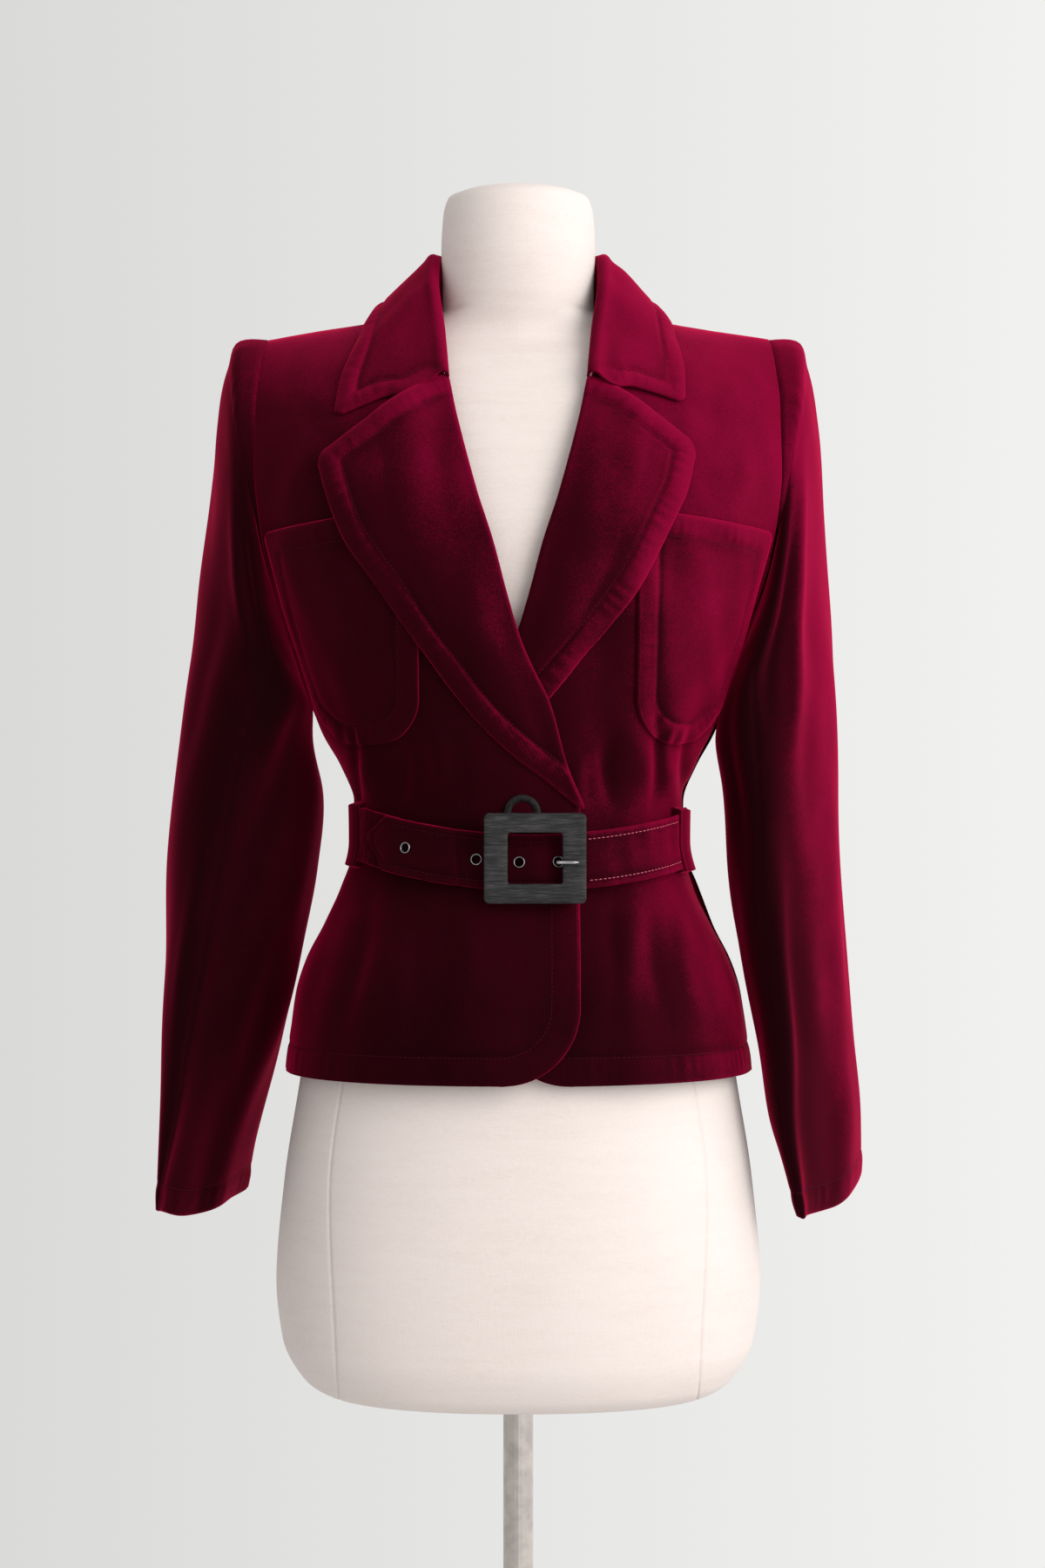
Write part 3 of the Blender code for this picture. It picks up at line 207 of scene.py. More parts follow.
# Brightness of the room at its dark and its light side
ROOM_DARK = 0.59
ROOM_LIGHT = 0.99
ROOM_SPREAD = 0.4
FLOOR_RADIUS = 1.8
FLOOR_CORNERS = 96
WINDOW_PLACE = (1.75, -1.75, 1.95)
WINDOW_TARGET = (0.0, 0.0, 1.15)
WINDOW_SIZE = (1.7, 2.2)
WINDOW_POWER = 44.0

# Painted shade on the sleeves: how much darker the whole sleeve is painted, and painted light: how much
# lighter its outer side is painted
SleevePaintedLight = namedtuple("SleevePaintedLight", "middle outward")
SLEEVE_PAINTED_LIGHT_RIGHT = SleevePaintedLight(-0.30, 0.14)
SLEEVE_PAINTED_LIGHT_LEFT = SleevePaintedLight(-0.20, 0.26)

# Painted light and shade: the way the light falls from, how much sides facing it are painted lighter and
# sides turned away darker, and how much lighter per metre above a middle level
PAINTED_LIGHT_WAY = (0.92, 0.10, 0.38)
PAINTED_LIGHT_BY_FACING = 0.30
PAINTED_LIGHT_BY_HEIGHT = 0.58
PAINTED_LIGHT_MIDDLE_LEVEL = 1.12

# Level sections of the jacket: half width, depth before and behind the middle line, squareness
Section = namedtuple("Section", "level half_width front back middle squareness")
BODY = (
    Section(0.860, 0.1680, 0.131, 0.130, 0.002, 2.25),
    Section(0.880, 0.1650, 0.128, 0.127, 0.002, 2.25),
    Section(0.931, 0.1580, 0.121, 0.121, 0.002, 2.25),
    Section(0.956, 0.1500, 0.115, 0.115, 0.002, 2.2),
    Section(0.981, 0.1370, 0.107, 0.106, 0.002, 2.2),
    Section(1.006, 0.1255, 0.099, 0.097, 0.002, 2.15),
    Section(1.040, 0.1165, 0.094, 0.087, 0.003, 2.1),
    Section(1.068, 0.1170, 0.096, 0.087, 0.004, 2.1),
    Section(1.093, 0.1265, 0.102, 0.091, 0.005, 2.1),
    Section(1.118, 0.1400, 0.111, 0.096, 0.006, 2.1),
    Section(1.160, 0.1553, 0.123, 0.101, 0.006, 2.1),
    Section(1.200, 0.1680, 0.129, 0.104, 0.006, 2.15),
    Section(1.240, 0.1830, 0.126, 0.107, 0.007, 2.2),
    Section(1.280, 0.1960, 0.118, 0.108, 0.008, 2.3),
    Section(1.320, 0.2040, 0.105, 0.103, 0.010, 2.3),
    Section(1.360, 0.2080, 0.086, 0.090, 0.012, 2.3),
    Section(1.390, 0.2100, 0.063, 0.073, 0.012, 2.3),
    Section(1.412, 0.2100, 0.036, 0.049, 0.012, 2.3),
    Section(1.4225, 0.2100, 0.016, 0.022, 0.012, 2.3),
    Section(1.4274, 0.2100, 0.0004, 0.0004, 0.012, 2.3),
)

# Distance from the middle of an edge at each level
Edge = namedtuple("Edge", "level x")
ARMHOLE = (
    Edge(1.232, 0.1755),
    Edge(1.262, 0.1800),
    Edge(1.310, 0.1835),
    Edge(1.370, 0.1838),
    Edge(1.405, 0.1815),
    Edge(1.4274, 0.1790),
)
ROLL = (
    Edge(1.0650, -0.0410),
    Edge(1.0928, -0.0300),
    Edge(1.1354, -0.0180),
    Edge(1.1590, -0.0065),
    Edge(1.1750, 0.0005),
    Edge(1.2047, 0.0098),
    Edge(1.2426, 0.0198),
    Edge(1.2780, 0.0310),
    Edge(1.3350, 0.0450),
    Edge(1.3720, 0.0522),
    Edge(1.4000, 0.0620),
    Edge(1.4274, 0.0690),
)
LAPEL_RIGHT = (
    Edge(1.0645, -0.0400),
    Edge(1.0794, -0.0234),
    Edge(1.1010, 0.0028),
    Edge(1.1260, 0.0290),
    Edge(1.1738, 0.0650),
    Edge(1.2078, 0.0890),
    Edge(1.2499, 0.1166),
    Edge(1.2810, 0.1280),
    Edge(1.3085, 0.1350),
)
LAPEL_LEFT = (
    Edge(1.1250, 0.0105),
    Edge(1.1354, 0.0187),
    Edge(1.1790, 0.0546),
    Edge(1.2148, 0.0810),
    Edge(1.2590, 0.1036),
    Edge(1.2810, 0.1131),
    Edge(1.3150, 0.1200),
)

# Patch pockets: inner and outer edge at each level
PocketEdge = namedtuple("PocketEdge", "level inner_x outer_x")
POCKET_RIGHT = (
    PocketEdge(1.1085, 0.0690, 0.1290),
    PocketEdge(1.1380, 0.0670, 0.1420),
    PocketEdge(1.1880, 0.0670, 0.1580),
    PocketEdge(1.2215, 0.0680, 0.1660),
    PocketEdge(1.2600, 0.0690, 0.1750),
)
POCKET_LEFT = (
    PocketEdge(1.1085, 0.0810, 0.1290),
    PocketEdge(1.1380, 0.0800, 0.1420),
    PocketEdge(1.1880, 0.0800, 0.1580),
    PocketEdge(1.2215, 0.0810, 0.1660),
    PocketEdge(1.2600, 0.0820, 0.1750),
)

# Collar from the centre back (around 0) to the front ends (around 1)
CollarRow = namedtuple(
    "CollarRow", "around fold_x fold_y fold_z foot_x foot_y foot_z leaf_x leaf_drop"
)
COLLAR = (
    CollarRow(0.00, 0.0000, 0.0640, 1.4580, 0.0000, 0.0615, 1.4140, 0.0000, -0.0450),
    CollarRow(0.22, 0.0310, 0.0570, 1.4590, 0.0310, 0.0545, 1.4160, 0.0520, -0.0400),
    CollarRow(0.42, 0.0530, 0.0360, 1.4610, 0.0520, 0.0340, 1.4220, 0.0880, -0.0190),
    CollarRow(0.56, 0.0610, 0.0120, 1.4590, 0.0600, 0.0110, 1.4240, 0.1040, 0.0000),
    CollarRow(0.72, 0.0605, -0.0170, 1.4380, 0.0585, -0.0140, 1.4120, 0.1110, 0.0190),
    CollarRow(0.87, 0.0555, -0.0450, 1.4010, 0.0535, -0.0400, 1.3890, 0.1180, 0.0460),
    CollarRow(1.00, 0.0520, -0.0740, 1.3635, 0.0487, -0.0700, 1.3605, 0.1190, 0.0745),
)

# Sleeve rings from the armhole to the cuff
Ring = namedtuple("Ring", "outer_x outer_z inner_x inner_z half_depth shear hollow armhole")
SLEEVE_RIGHT = (
    Ring(0.1890, 1.4010, 0.1690, 1.1965, 0.0500, 0.0, 0.0, 0.85),
    Ring(0.1985, 1.3945, 0.1655, 1.1900, 0.0500, -0.05, 0.0, 0.6),
    Ring(0.2065, 1.3670, 0.1635, 1.1830, 0.0505, -0.12, 0.0, 0.35),
    Ring(0.2150, 1.3250, 0.1600, 1.1720, 0.0520, -0.25, 0.0, 0.15),
    Ring(0.2240, 1.2700, 0.1548, 1.1550, 0.0545, -0.38, 0.0, 0.0),
    Ring(0.2310, 1.2150, 0.1468, 1.1350, 0.0570, -0.34, 0.001, 0.0),
    Ring(0.2365, 1.1550, 0.1465, 1.1100, 0.0580, -0.05, 0.002, 0.0),
    Ring(0.2410, 1.1000, 0.1400, 1.0750, 0.0570, 0.20, 0.004, 0.0),
    Ring(0.2440, 1.0350, 0.1440, 1.0200, 0.0560, 0.34, 0.006, 0.0),
    Ring(0.2465, 0.9600, 0.1570, 0.9600, 0.0560, 0.40, 0.006, 0.0),
    Ring(0.2475, 0.9000, 0.1695, 0.9000, 0.0560, 0.44, 0.007, 0.0),
    Ring(0.2485, 0.8400, 0.1830, 0.8450, 0.0560, 0.46, 0.0075, 0.0),
    Ring(0.2505, 0.7950, 0.1930, 0.8000, 0.0560, 0.46, 0.0075, 0.0),
    Ring(0.2515, 0.7740, 0.1965, 0.7810, 0.0560, 0.46, 0.0075, 0.0),
)
SLEEVE_LEFT = (
    Ring(0.1890, 1.4010, 0.1690, 1.1965, 0.0500, 0.0, 0.0, 0.85),
    Ring(0.1985, 1.3945, 0.1655, 1.1900, 0.0500, 0.05, 0.0, 0.6),
    Ring(0.2060, 1.3670, 0.1635, 1.1830, 0.0505, 0.12, 0.0, 0.35),
    Ring(0.2140, 1.3250, 0.1600, 1.1720, 0.0520, 0.25, 0.0, 0.15),
    Ring(0.2205, 1.2700, 0.1538, 1.1550, 0.0545, 0.40, 0.0, 0.0),
    Ring(0.2245, 1.2150, 0.1452, 1.1350, 0.0570, 0.41, 0.001, 0.0),
    Ring(0.2270, 1.1550, 0.1392, 1.1100, 0.0580, 0.28, 0.002, 0.0),
    Ring(0.2295, 1.1000, 0.1440, 1.0750, 0.0570, 0.29, 0.004, 0.0),
    Ring(0.2325, 1.0350, 0.1490, 1.0200, 0.0560, 0.34, 0.006, 0.0),
    Ring(0.2375, 0.9600, 0.1575, 0.9600, 0.0560, 0.40, 0.006, 0.0),
    Ring(0.2430, 0.9000, 0.1685, 0.9000, 0.0560, 0.44, 0.007, 0.0),
    Ring(0.2475, 0.8450, 0.1760, 0.8400, 0.0560, 0.46, 0.0075, 0.0),
    Ring(0.2490, 0.8050, 0.1880, 0.7950, 0.0560, 0.46, 0.0075, 0.0),
    Ring(0.2500, 0.7860, 0.1930, 0.7760, 0.0560, 0.46, 0.0075, 0.0),
)

# Level sections of the dress form
FORM = (
    Section(0.6520, 0.1250, 0.090, 0.095, 0.000, 2.4),
    Section(0.6545, 0.1400, 0.104, 0.110, 0.000, 2.4),
    Section(0.6650, 0.1540, 0.117, 0.123, 0.000, 2.4),
    Section(0.6900, 0.1670, 0.126, 0.133, 0.000, 2.35),
    Section(0.7300, 0.1715, 0.128, 0.136, 0.000, 2.3),
    Section(0.8000, 0.1660, 0.123, 0.131, 0.001, 2.25),
    Section(0.8650, 0.1560, 0.115, 0.121, 0.002, 2.2),
    Section(0.9310, 0.1450, 0.107, 0.112, 0.002, 2.2),
    Section(0.9810, 0.1260, 0.095, 0.098, 0.002, 2.15),
    Section(1.0400, 0.1080, 0.083, 0.081, 0.003, 2.1),
    Section(1.0680, 0.1085, 0.084, 0.081, 0.004, 2.1),
    Section(1.1180, 0.1300, 0.099, 0.089, 0.006, 2.1),
    Section(1.1600, 0.1450, 0.111, 0.094, 0.006, 2.1),
    Section(1.2000, 0.1530, 0.117, 0.097, 0.006, 2.15),
    Section(1.2500, 0.1590, 0.112, 0.100, 0.007, 2.3),
    Section(1.3000, 0.1630, 0.098, 0.098, 0.009, 2.4),
    Section(1.3500, 0.1640, 0.078, 0.086, 0.012, 2.3),
    Section(1.3780, 0.1580, 0.060, 0.070, 0.012, 1.95),
    Section(1.3900, 0.1400, 0.049, 0.060, 0.012, 1.6),
    Section(1.3985, 0.1080, 0.045, 0.052, 0.012, 1.5),
    Section(1.4060, 0.0740, 0.044, 0.047, 0.010, 1.7),
    Section(1.4160, 0.0540, 0.046, 0.045, 0.008, 2.0),
    Section(1.4360, 0.0540, 0.050, 0.045, 0.006, 2.0),
    Section(1.4600, 0.0549, 0.053, 0.047, 0.005, 2.0),
    Section(1.4850, 0.0535, 0.052, 0.046, 0.005, 2.0),
    Section(1.4960, 0.0505, 0.049, 0.043, 0.005, 2.0),
    Section(1.5005, 0.0450, 0.043, 0.037, 0.005, 2.0),
    Section(1.5010, 0.0400, 0.038, 0.032, 0.005, 2.0),
)

# Soft folds of the fronts: a ridge or trough from one place to another, fading at both ends
Fold = namedtuple("Fold", "start_x start_z end_x end_z width rise")
FRONT_FOLDS = (
    Fold(0.081, 1.050, 0.081, 1.140, 0.011, 0.0035),
    Fold(0.104, 1.052, 0.104, 1.125, 0.008, 0.0030),
    Fold(-0.098, 1.050, -0.098, 1.130, 0.010, 0.0035),
    Fold(0.076, 0.900, 0.076, 1.022, 0.014, 0.0040),
    Fold(-0.088, 0.890, -0.088, 1.020, 0.018, 0.0030),
)
FRONT_CREASES = (
    Fold(0.092, 1.048, 0.096, 1.150, 0.0040, -0.0036),
    Fold(0.113, 1.052, 0.121, 1.130, 0.0040, -0.0032),
    Fold(0.066, 1.050, 0.062, 1.125, 0.0060, -0.0032),
    Fold(0.046, 1.052, 0.040, 1.110, 0.0060, 0.0024),
    Fold(-0.108, 1.050, -0.116, 1.125, 0.0040, -0.0036),
    Fold(-0.083, 1.050, -0.080, 1.120, 0.0050, -0.0028),
    Fold(-0.060, 1.052, -0.052, 1.135, 0.0080, 0.0024),
    Fold(0.060, 0.905, 0.070, 1.020, 0.0060, -0.0020),
    Fold(0.098, 0.900, 0.090, 1.022, 0.0070, -0.0022),
    Fold(0.128, 0.900, 0.106, 1.022, 0.0080, 0.0022),
    Fold(-0.066, 0.892, -0.072, 1.015, 0.0070, -0.0020),
    Fold(-0.118, 0.895, -0.102, 1.020, 0.0080, -0.0022),
    Fold(-0.034, 0.930, -0.040, 1.012, 0.0090, 0.0014),
    Fold(0.112, 1.300, 0.150, 1.372, 0.0120, -0.0012),
    Fold(0.100, 1.345, 0.165, 1.352, 0.0090, 0.0010),
    Fold(-0.112, 1.290, -0.150, 1.352, 0.0120, -0.0012),
    Fold(-0.152, 1.255, -0.146, 1.335, 0.0090, 0.0014),
    Fold(0.158, 1.255, 0.150, 1.330, 0.0090, 0.0014),
)

# Soft folds of the back above the belt and, leaning outwards, below it
BackFold = namedtuple("BackFold", "x top rise")
BACK_FOLDS = (
    BackFold(-0.07, 1.16, 0.0022),
    BackFold(-0.03, 1.12, -0.0016),
    BackFold(0.035, 1.13, 0.0018),
    BackFold(0.075, 1.17, -0.0020),
)
SkirtFold = namedtuple("SkirtFold", "x rise")
SKIRT_FOLDS = (
    SkirtFold(-0.10, 0.0024),
    SkirtFold(-0.055, -0.0018),
    SkirtFold(0.02, 0.0016),
    SkirtFold(0.06, -0.0018),
    SkirtFold(0.105, 0.0022),
)

# Long soft creases of the sleeves: turn in degrees from the outer side towards the front
SleeveFold = namedtuple("SleeveFold", "turn drift start end width rise")
SLEEVE_FOLDS_RIGHT = (
    SleeveFold(62, 6, 0.05, 0.30, 9, 0.0031),
    SleeveFold(82, -8, 0.06, 0.26, 9, -0.0028),
    SleeveFold(40, 8, 0.12, 0.52, 12, -0.0025),
    SleeveFold(110, 10, 0.16, 0.46, 12, 0.0031),
    SleeveFold(135, -10, 0.22, 0.60, 12, -0.0028),
    SleeveFold(75, 12, 0.42, 0.86, 10, 0.0031),
    SleeveFold(150, 8, 0.50, 0.95, 12, 0.0025),
    SleeveFold(20, -6, 0.36, 0.90, 14, 0.0025),
    SleeveFold(230, 14, 0.10, 0.55, 14, -0.0031),
    SleeveFold(265, -10, 0.16, 0.70, 14, 0.0034),
    SleeveFold(300, 8, 0.30, 0.92, 14, -0.0028),
    SleeveFold(200, -8, 0.40, 0.92, 14, 0.0028),
)
SLEEVE_FOLDS_LEFT = (
    SleeveFold(58, -4, 0.03, 0.46, 8, 0.0042),
    SleeveFold(76, 4, 0.04, 0.40, 8, -0.0034),
    SleeveFold(34, 6, 0.10, 0.60, 12, -0.0028),
    SleeveFold(102, 8, 0.14, 0.50, 12, 0.0028),
    SleeveFold(128, -10, 0.20, 0.62, 12, -0.0031),
    SleeveFold(68, 14, 0.48, 0.94, 10, 0.0028),
    SleeveFold(150, 6, 0.45, 0.95, 12, 0.0028),
    SleeveFold(12, -8, 0.40, 0.90, 14, 0.0025),
    SleeveFold(228, 12, 0.10, 0.55, 14, -0.0031),
    SleeveFold(262, -8, 0.18, 0.72, 14, 0.0034),
    SleeveFold(302, 10, 0.30, 0.92, 14, -0.0028),
    SleeveFold(202, -8, 0.42, 0.92, 14, 0.0028),
)

# The two sides, with the tables that differ between them
SIDES = (("right", -1), ("left", 1))
SLEEVES = {"right": (SLEEVE_RIGHT, SLEEVE_FOLDS_RIGHT), "left": (SLEEVE_LEFT, SLEEVE_FOLDS_LEFT)}
LAPELS = {"right": LAPEL_RIGHT, "left": LAPEL_LEFT}
POCKETS = {"right": POCKET_RIGHT, "left": POCKET_LEFT}


def curve(rows, column, key="level"):
    """A smooth function through one column of a table that never overshoots its rows."""
    keys = np.array([getattr(row, key) for row in rows])
    values = np.array([getattr(row, column) for row in rows], float)
    rises = np.diff(values) / np.diff(keys)
    slopes = np.zeros(len(keys))
    same_way = rises[:-1] * rises[1:] > 0
    total = np.where(same_way, rises[:-1] + rises[1:], 1.0)
    slopes[1:-1] = np.where(same_way, 2 * rises[:-1] * rises[1:] / total, 0.0)
    slopes[0], slopes[-1] = rises[0], rises[-1]

    def at(where):
        place = np.clip(np.asarray(where, float), keys[0], keys[-1])
        index = np.clip(np.searchsorted(keys, place) - 1, 0, len(keys) - 2)
        span = keys[index + 1] - keys[index]
        part = (place - keys[index]) / span
        rest = 1 - part
        return (
            values[index] * rest * rest * (1 + 2 * part)
            + values[index + 1] * part * part * (1 + 2 * rest)
            + span * part * rest * (slopes[index] * rest - slopes[index + 1] * part)
        )

    return at


def smooth_step(low, high, value):
    part = np.clip((np.asarray(value, float) - low) / (high - low), 0.0, 1.0)
    return part * part * (3 - 2 * part)


def bell(gap, width):
    """1 where the gap is nothing, fading on both sides over about the width."""
    return np.exp(-((gap / width) ** 2))


def unit(vectors):
    length = np.linalg.norm(vectors, axis=-1, keepdims=True)
    return vectors / np.maximum(length, 1e-12)


def soft_field(points, size, seed, waves=9):
    """A smooth uneven field over space: waves of about one size, drawn out along the height."""
    mixed = np.random.RandomState(seed)
    field = np.zeros(points.shape[:-1])
    for _ in range(waves):
        way = mixed.normal(size=3) * np.array([1.0, 1.0, 0.3])
        way /= np.linalg.norm(way)
        pitch = 2 * math.pi / (size * mixed.uniform(0.6, 1.7))
        field += np.sin(points @ way * pitch + mixed.uniform(0, 2 * math.pi))
    return field / math.sqrt(waves)


def uneven(along, size, seed):
    """A wave along a seam whose pitch and height wander."""
    slow = np.sin(2 * math.pi * along / (size * 4.3) + seed)
    slower = np.sin(2 * math.pi * along / (size * 7.1) + 1.7 * seed)
    return np.sin(2 * math.pi * along / size + 1.6 * slow + seed) * (0.6 + 0.4 * slower)


BODY_AT = {name: curve(BODY, name) for name in Section._fields[1:]}
ARMHOLE_AT = curve(ARMHOLE, "x")
ROLL_AT = curve(ROLL, "x")
COLLAR_AT = {name: curve(COLLAR, name, "around") for name in CollarRow._fields[1:]}


def plain_point(turn, level):
    """Points of the jacket's outside: turn 0 is centre front, 1 the left side, 2 centre back."""
    turn, level = np.broadcast_arrays(np.asarray(turn, float), np.asarray(level, float))
    sine, cosine = np.sin(math.pi / 2 * turn), np.cos(math.pi / 2 * turn)
    power = 2 / BODY_AT["squareness"](level)
    depth = np.where(cosine > 0, BODY_AT["front"](level), BODY_AT["back"](level))
    x = BODY_AT["half_width"](level) * np.sign(sine) * np.abs(sine) ** power
    y = BODY_AT["middle"](level) - depth * np.sign(cosine) * np.abs(cosine) ** power
    fall = SHOULDER_FALL * smooth_step(SHOULDER_FALL_STARTS, SHOULDER_FALL_FULL, level)
    return np.stack([x, y, level - fall * np.abs(x)], axis=-1)


def outward(turn, level):
    """Unit normals there, from small steps along and across."""
    step = 0.004
    turn, level = np.broadcast_arrays(np.asarray(turn, float), np.asarray(level, float))
    high = np.minimum(level + step, SHOULDER_LEVEL - 0.0005)
    low = np.minimum(np.maximum(level - step, BODY[0].level), high - step)
    across = plain_point(turn + step, level) - plain_point(turn - step, level)
    return unit(np.cross(across, plain_point(turn, high) - plain_point(turn, low)))


def turn_at(x, level):
    """The turn of the front point at a distance x from the middle plane."""
    share = np.minimum(np.abs(x) / BODY_AT["half_width"](level), 1.0)
    angle = np.arcsin(share ** (BODY_AT["squareness"](level) / 2))
    return np.sign(x) * angle * 2 / math.pi


def front_lift(side, x):
    """The right front rises over the left one where they lap."""
    if side < 0:
        return OVERLAP_RISE * smooth_step(-0.060, -0.025, x)
    return -UNDERLAP_SINK * smooth_step(-0.080, -0.055, -x)


def fold_rise(points, folds):
    """Outward height of soft folds, seen from the front, at points of the fronts."""
    x, z = points[..., 0], points[..., 2]
    rise = np.zeros(x.shape)
    for number, fold in enumerate(folds):
        along = (z - fold.start_z) / (fold.end_z - fold.start_z)
        if abs(fold.end_x - fold.start_x) > abs(fold.end_z - fold.start_z):
            along = (x - fold.start_x) / (fold.end_x - fold.start_x)
        part = np.clip(along, 0.0, 1.0)
        middle = fold.start_x + (fold.end_x - fold.start_x) * part
        bend = fold.width * 0.5 * np.sin(5.0 * part + number)
        across = (x - middle - bend) / fold.width
        if abs(fold.end_x - fold.start_x) > abs(fold.end_z - fold.start_z):
            across = (z - fold.start_z - (fold.end_z - fold.start_z) * part - bend) / fold.width
        fade = np.where((along > 0) & (along < 1), np.sin(math.pi * part) ** 2, 0.0)
        rise += fold.rise * np.exp(-across * across) * fade
    return rise


def seam_field(points, line):
    """For each point, its distance from a line of points and how far along the line that is."""
    steps = np.linalg.norm(np.diff(line, axis=0), axis=1)
    length = np.concatenate([[0.0], np.cumsum(steps)])
    even = np.linspace(0, length[-1], max(int(length[-1] / 0.0015), 2))
    spread = np.stack([np.interp(even, length, line[:, axis]) for axis in range(3)], axis=1)
    flat = points.reshape(-1, 3)
    distance = np.empty(len(flat))
    along = np.empty(len(flat))
    for first in range(0, len(flat), 4000):
        block = flat[first : first + 4000]
        gaps = np.linalg.norm(block[:, None, :] - spread[None, :, :], axis=2)
        nearest = gaps.argmin(axis=1)
        distance[first : first + 4000] = gaps[np.arange(len(block)), nearest]
        along[first : first + 4000] = even[nearest]
    return distance.reshape(points.shape[:-1]), along.reshape(points.shape[:-1])


def stitched_band(distance, along, inset, seed, relief):
    """Relief of a hem sewn down at an inset: a puffed edge, a groove and short puckers."""
    inside = np.clip(distance / inset, 0.0, 1.0)
    rise = relief.puff * np.sin(math.pi * inside)
    rise -= relief.groove * bell(distance - inset, 0.0013)
    waves = uneven(along, 0.0088, seed) + 0.5 * uneven(along, 0.0053, seed + 2.0)
    near = bell(distance - 0.62 * inset, 0.42 * inset)
    return rise + relief.pucker * waves * near


def add_mesh(name, points, faces, finish, nap_and_painted_light=None):
    mesh = bpy.data.meshes.new(name)
    mesh.from_pydata(points.tolist(), [], faces)
    mesh.shade_smooth()
    if nap_and_painted_light is not None:
        # The attribute carries random pile tone and painted light and shade
        mesh.attributes.new("nap_and_painted_light", "FLOAT", "POINT").data.foreach_set("value", np.asarray(nap_and_painted_light, np.float32))
    mesh.materials.append(finish)
    made = bpy.data.objects.new(name, mesh)
    bpy.context.scene.collection.objects.link(made)
    return made


def grid_quads(index, ring):
    if ring:
        index = np.concatenate([index, index[:, :1]], axis=1)
    corners = (index[:-1, :-1], index[:-1, 1:], index[1:, 1:], index[1:, :-1])
    return np.stack(corners, axis=-1).reshape(-1, 4)


def border_loops(rows, columns, ring):
    """Loops of border places as (row, column, row inside, column inside)."""
    if ring:
        every = range(columns)
        return [
            [(0, column, 1, column) for column in every],
            [(rows - 1, column, rows - 2, column) for column in every],
        ]
    loop = [(0, column) for column in range(columns)]
    loop += [(row, columns - 1) for row in range(1, rows)]
    loop += [(rows - 1, column) for column in range(columns - 2, -1, -1)]
    loop += [(row, 0) for row in range(rows - 2, 0, -1)]
    inside = [
        (row, column, min(max(row, 1), rows - 2), min(max(column, 1), columns - 2))
        for row, column in loop
    ]
    return [inside]


def add_shell(name, outer, inner, finish, nap_and_painted_light, ring=False):
    """A thin closed wall between two grids of points, its edges rounded."""
    rows, columns = outer.shape[:2]
    index = np.arange(rows * columns).reshape(rows, columns)
    half = rows * columns
    quads = grid_quads(index, ring)
    row, column = rows // 2, columns // 2
    across = outer[row, column + 1] - outer[row, column]
    down = outer[row + 1, column] - outer[row, column]
    facing = np.dot(np.cross(across, down), outer[row, column] - inner[row, column])
    if facing < 0:
        quads = quads[:, ::-1]
    faces = quads.tolist() + (quads[:, ::-1] + half).tolist()
    points = [outer.reshape(-1, 3), inner.reshape(-1, 3)]
    nap_and_painted_light_parts = [nap_and_painted_light.reshape(-1), nap_and_painted_light.reshape(-1)]
    start = 2 * half
    for loop in border_loops(rows, columns, ring):
        places = np.array(loop)
        edge_outer = outer[places[:, 0], places[:, 1]]
        edge_inner = inner[places[:, 0], places[:, 1]]
        away = unit(edge_outer - outer[places[:, 2], places[:, 3]])
        thick = np.linalg.norm(edge_outer - edge_inner, axis=1, keepdims=True)
        points.append((edge_outer + edge_inner) / 2 + away * thick * 0.45)
        nap_and_painted_light_parts.append(nap_and_painted_light[places[:, 0], places[:, 1]])
        count = len(loop)
        here = index[places[:, 0], places[:, 1]]
        for step in range(count):
            after = (step + 1) % count
            rim, rim_after = start + step, start + after
            faces.append([int(here[step]), int(here[after]), rim_after, rim])
            faces.append([rim, rim_after, int(here[after]) + half, int(here[step]) + half])
        start += count
    made = add_mesh(name, np.concatenate(points), faces, finish, np.concatenate(nap_and_painted_light_parts))
    face_outwards(made)
    # Paints light and shade into the attribute by facing and height
    paint_light_by_facing_and_height(made.data)
    return made


def paint_light_by_facing_and_height(mesh):
    """Painted light and shade: lightens higher up and on sides facing the way the light falls from, and
    darkens lower down and on sides turned away.
    """
    count = len(mesh.vertices)
    normals, points = np.empty(count * 3, np.float32), np.empty(count * 3, np.float32)
    nap_and_painted_light = np.empty(count, np.float32)
    mesh.vertices.foreach_get("normal", normals)
    mesh.vertices.foreach_get("co", points)
    layer = mesh.attributes["nap_and_painted_light"].data
    layer.foreach_get("value", nap_and_painted_light)
    # Sides facing the light's way are painted lighter, sides turned away darker, and higher parts lighter
    brushed = PAINTED_LIGHT_BY_FACING * (normals.reshape(-1, 3) @ np.array(PAINTED_LIGHT_WAY, np.float32))
    raised = PAINTED_LIGHT_BY_HEIGHT * (points[2::3] - PAINTED_LIGHT_MIDDLE_LEVEL)
    layer.foreach_set("value", nap_and_painted_light + brushed + raised)


def grid_normals(grid, ring=False):
    """Unit normals of a grid of points, pointing along across x down the rows."""
    if ring:
        around = np.roll(grid, -1, axis=1) - np.roll(grid, 1, axis=1)
    else:
        around = np.gradient(grid, axis=1)
    return unit(np.cross(around, np.gradient(grid, axis=0)))


def round_corner(grid, radius):
    """Rounds the corner of a grid at its last row and last column."""
    down, aside = grid[:-1] - grid[1:], grid[:, :-1] - grid[:, 1:]
    row_gap = np.zeros(grid.shape[:2])
    row_gap[:-1] = np.cumsum(np.linalg.norm(down, axis=-1)[::-1], axis=0)[::-1]
    column_gap = np.zeros(grid.shape[:2])
    column_gap[:, :-1] = np.cumsum(np.linalg.norm(aside, axis=-1)[:, ::-1], axis=1)[:, ::-1]
    first = np.clip(1 - row_gap / radius, 0.0, 1.0)
    second = np.clip(1 - column_gap / radius, 0.0, 1.0)
    down = unit(np.concatenate([down, down[-1:]]))
    aside = unit(np.concatenate([aside, aside[:, -1:]], axis=1))
    by_row = radius * (first - first * np.sqrt(1 - second**2 / 2))
    by_column = radius * (second - second * np.sqrt(1 - first**2 / 2))
    return grid + down * by_row[..., None] + aside * by_column[..., None]


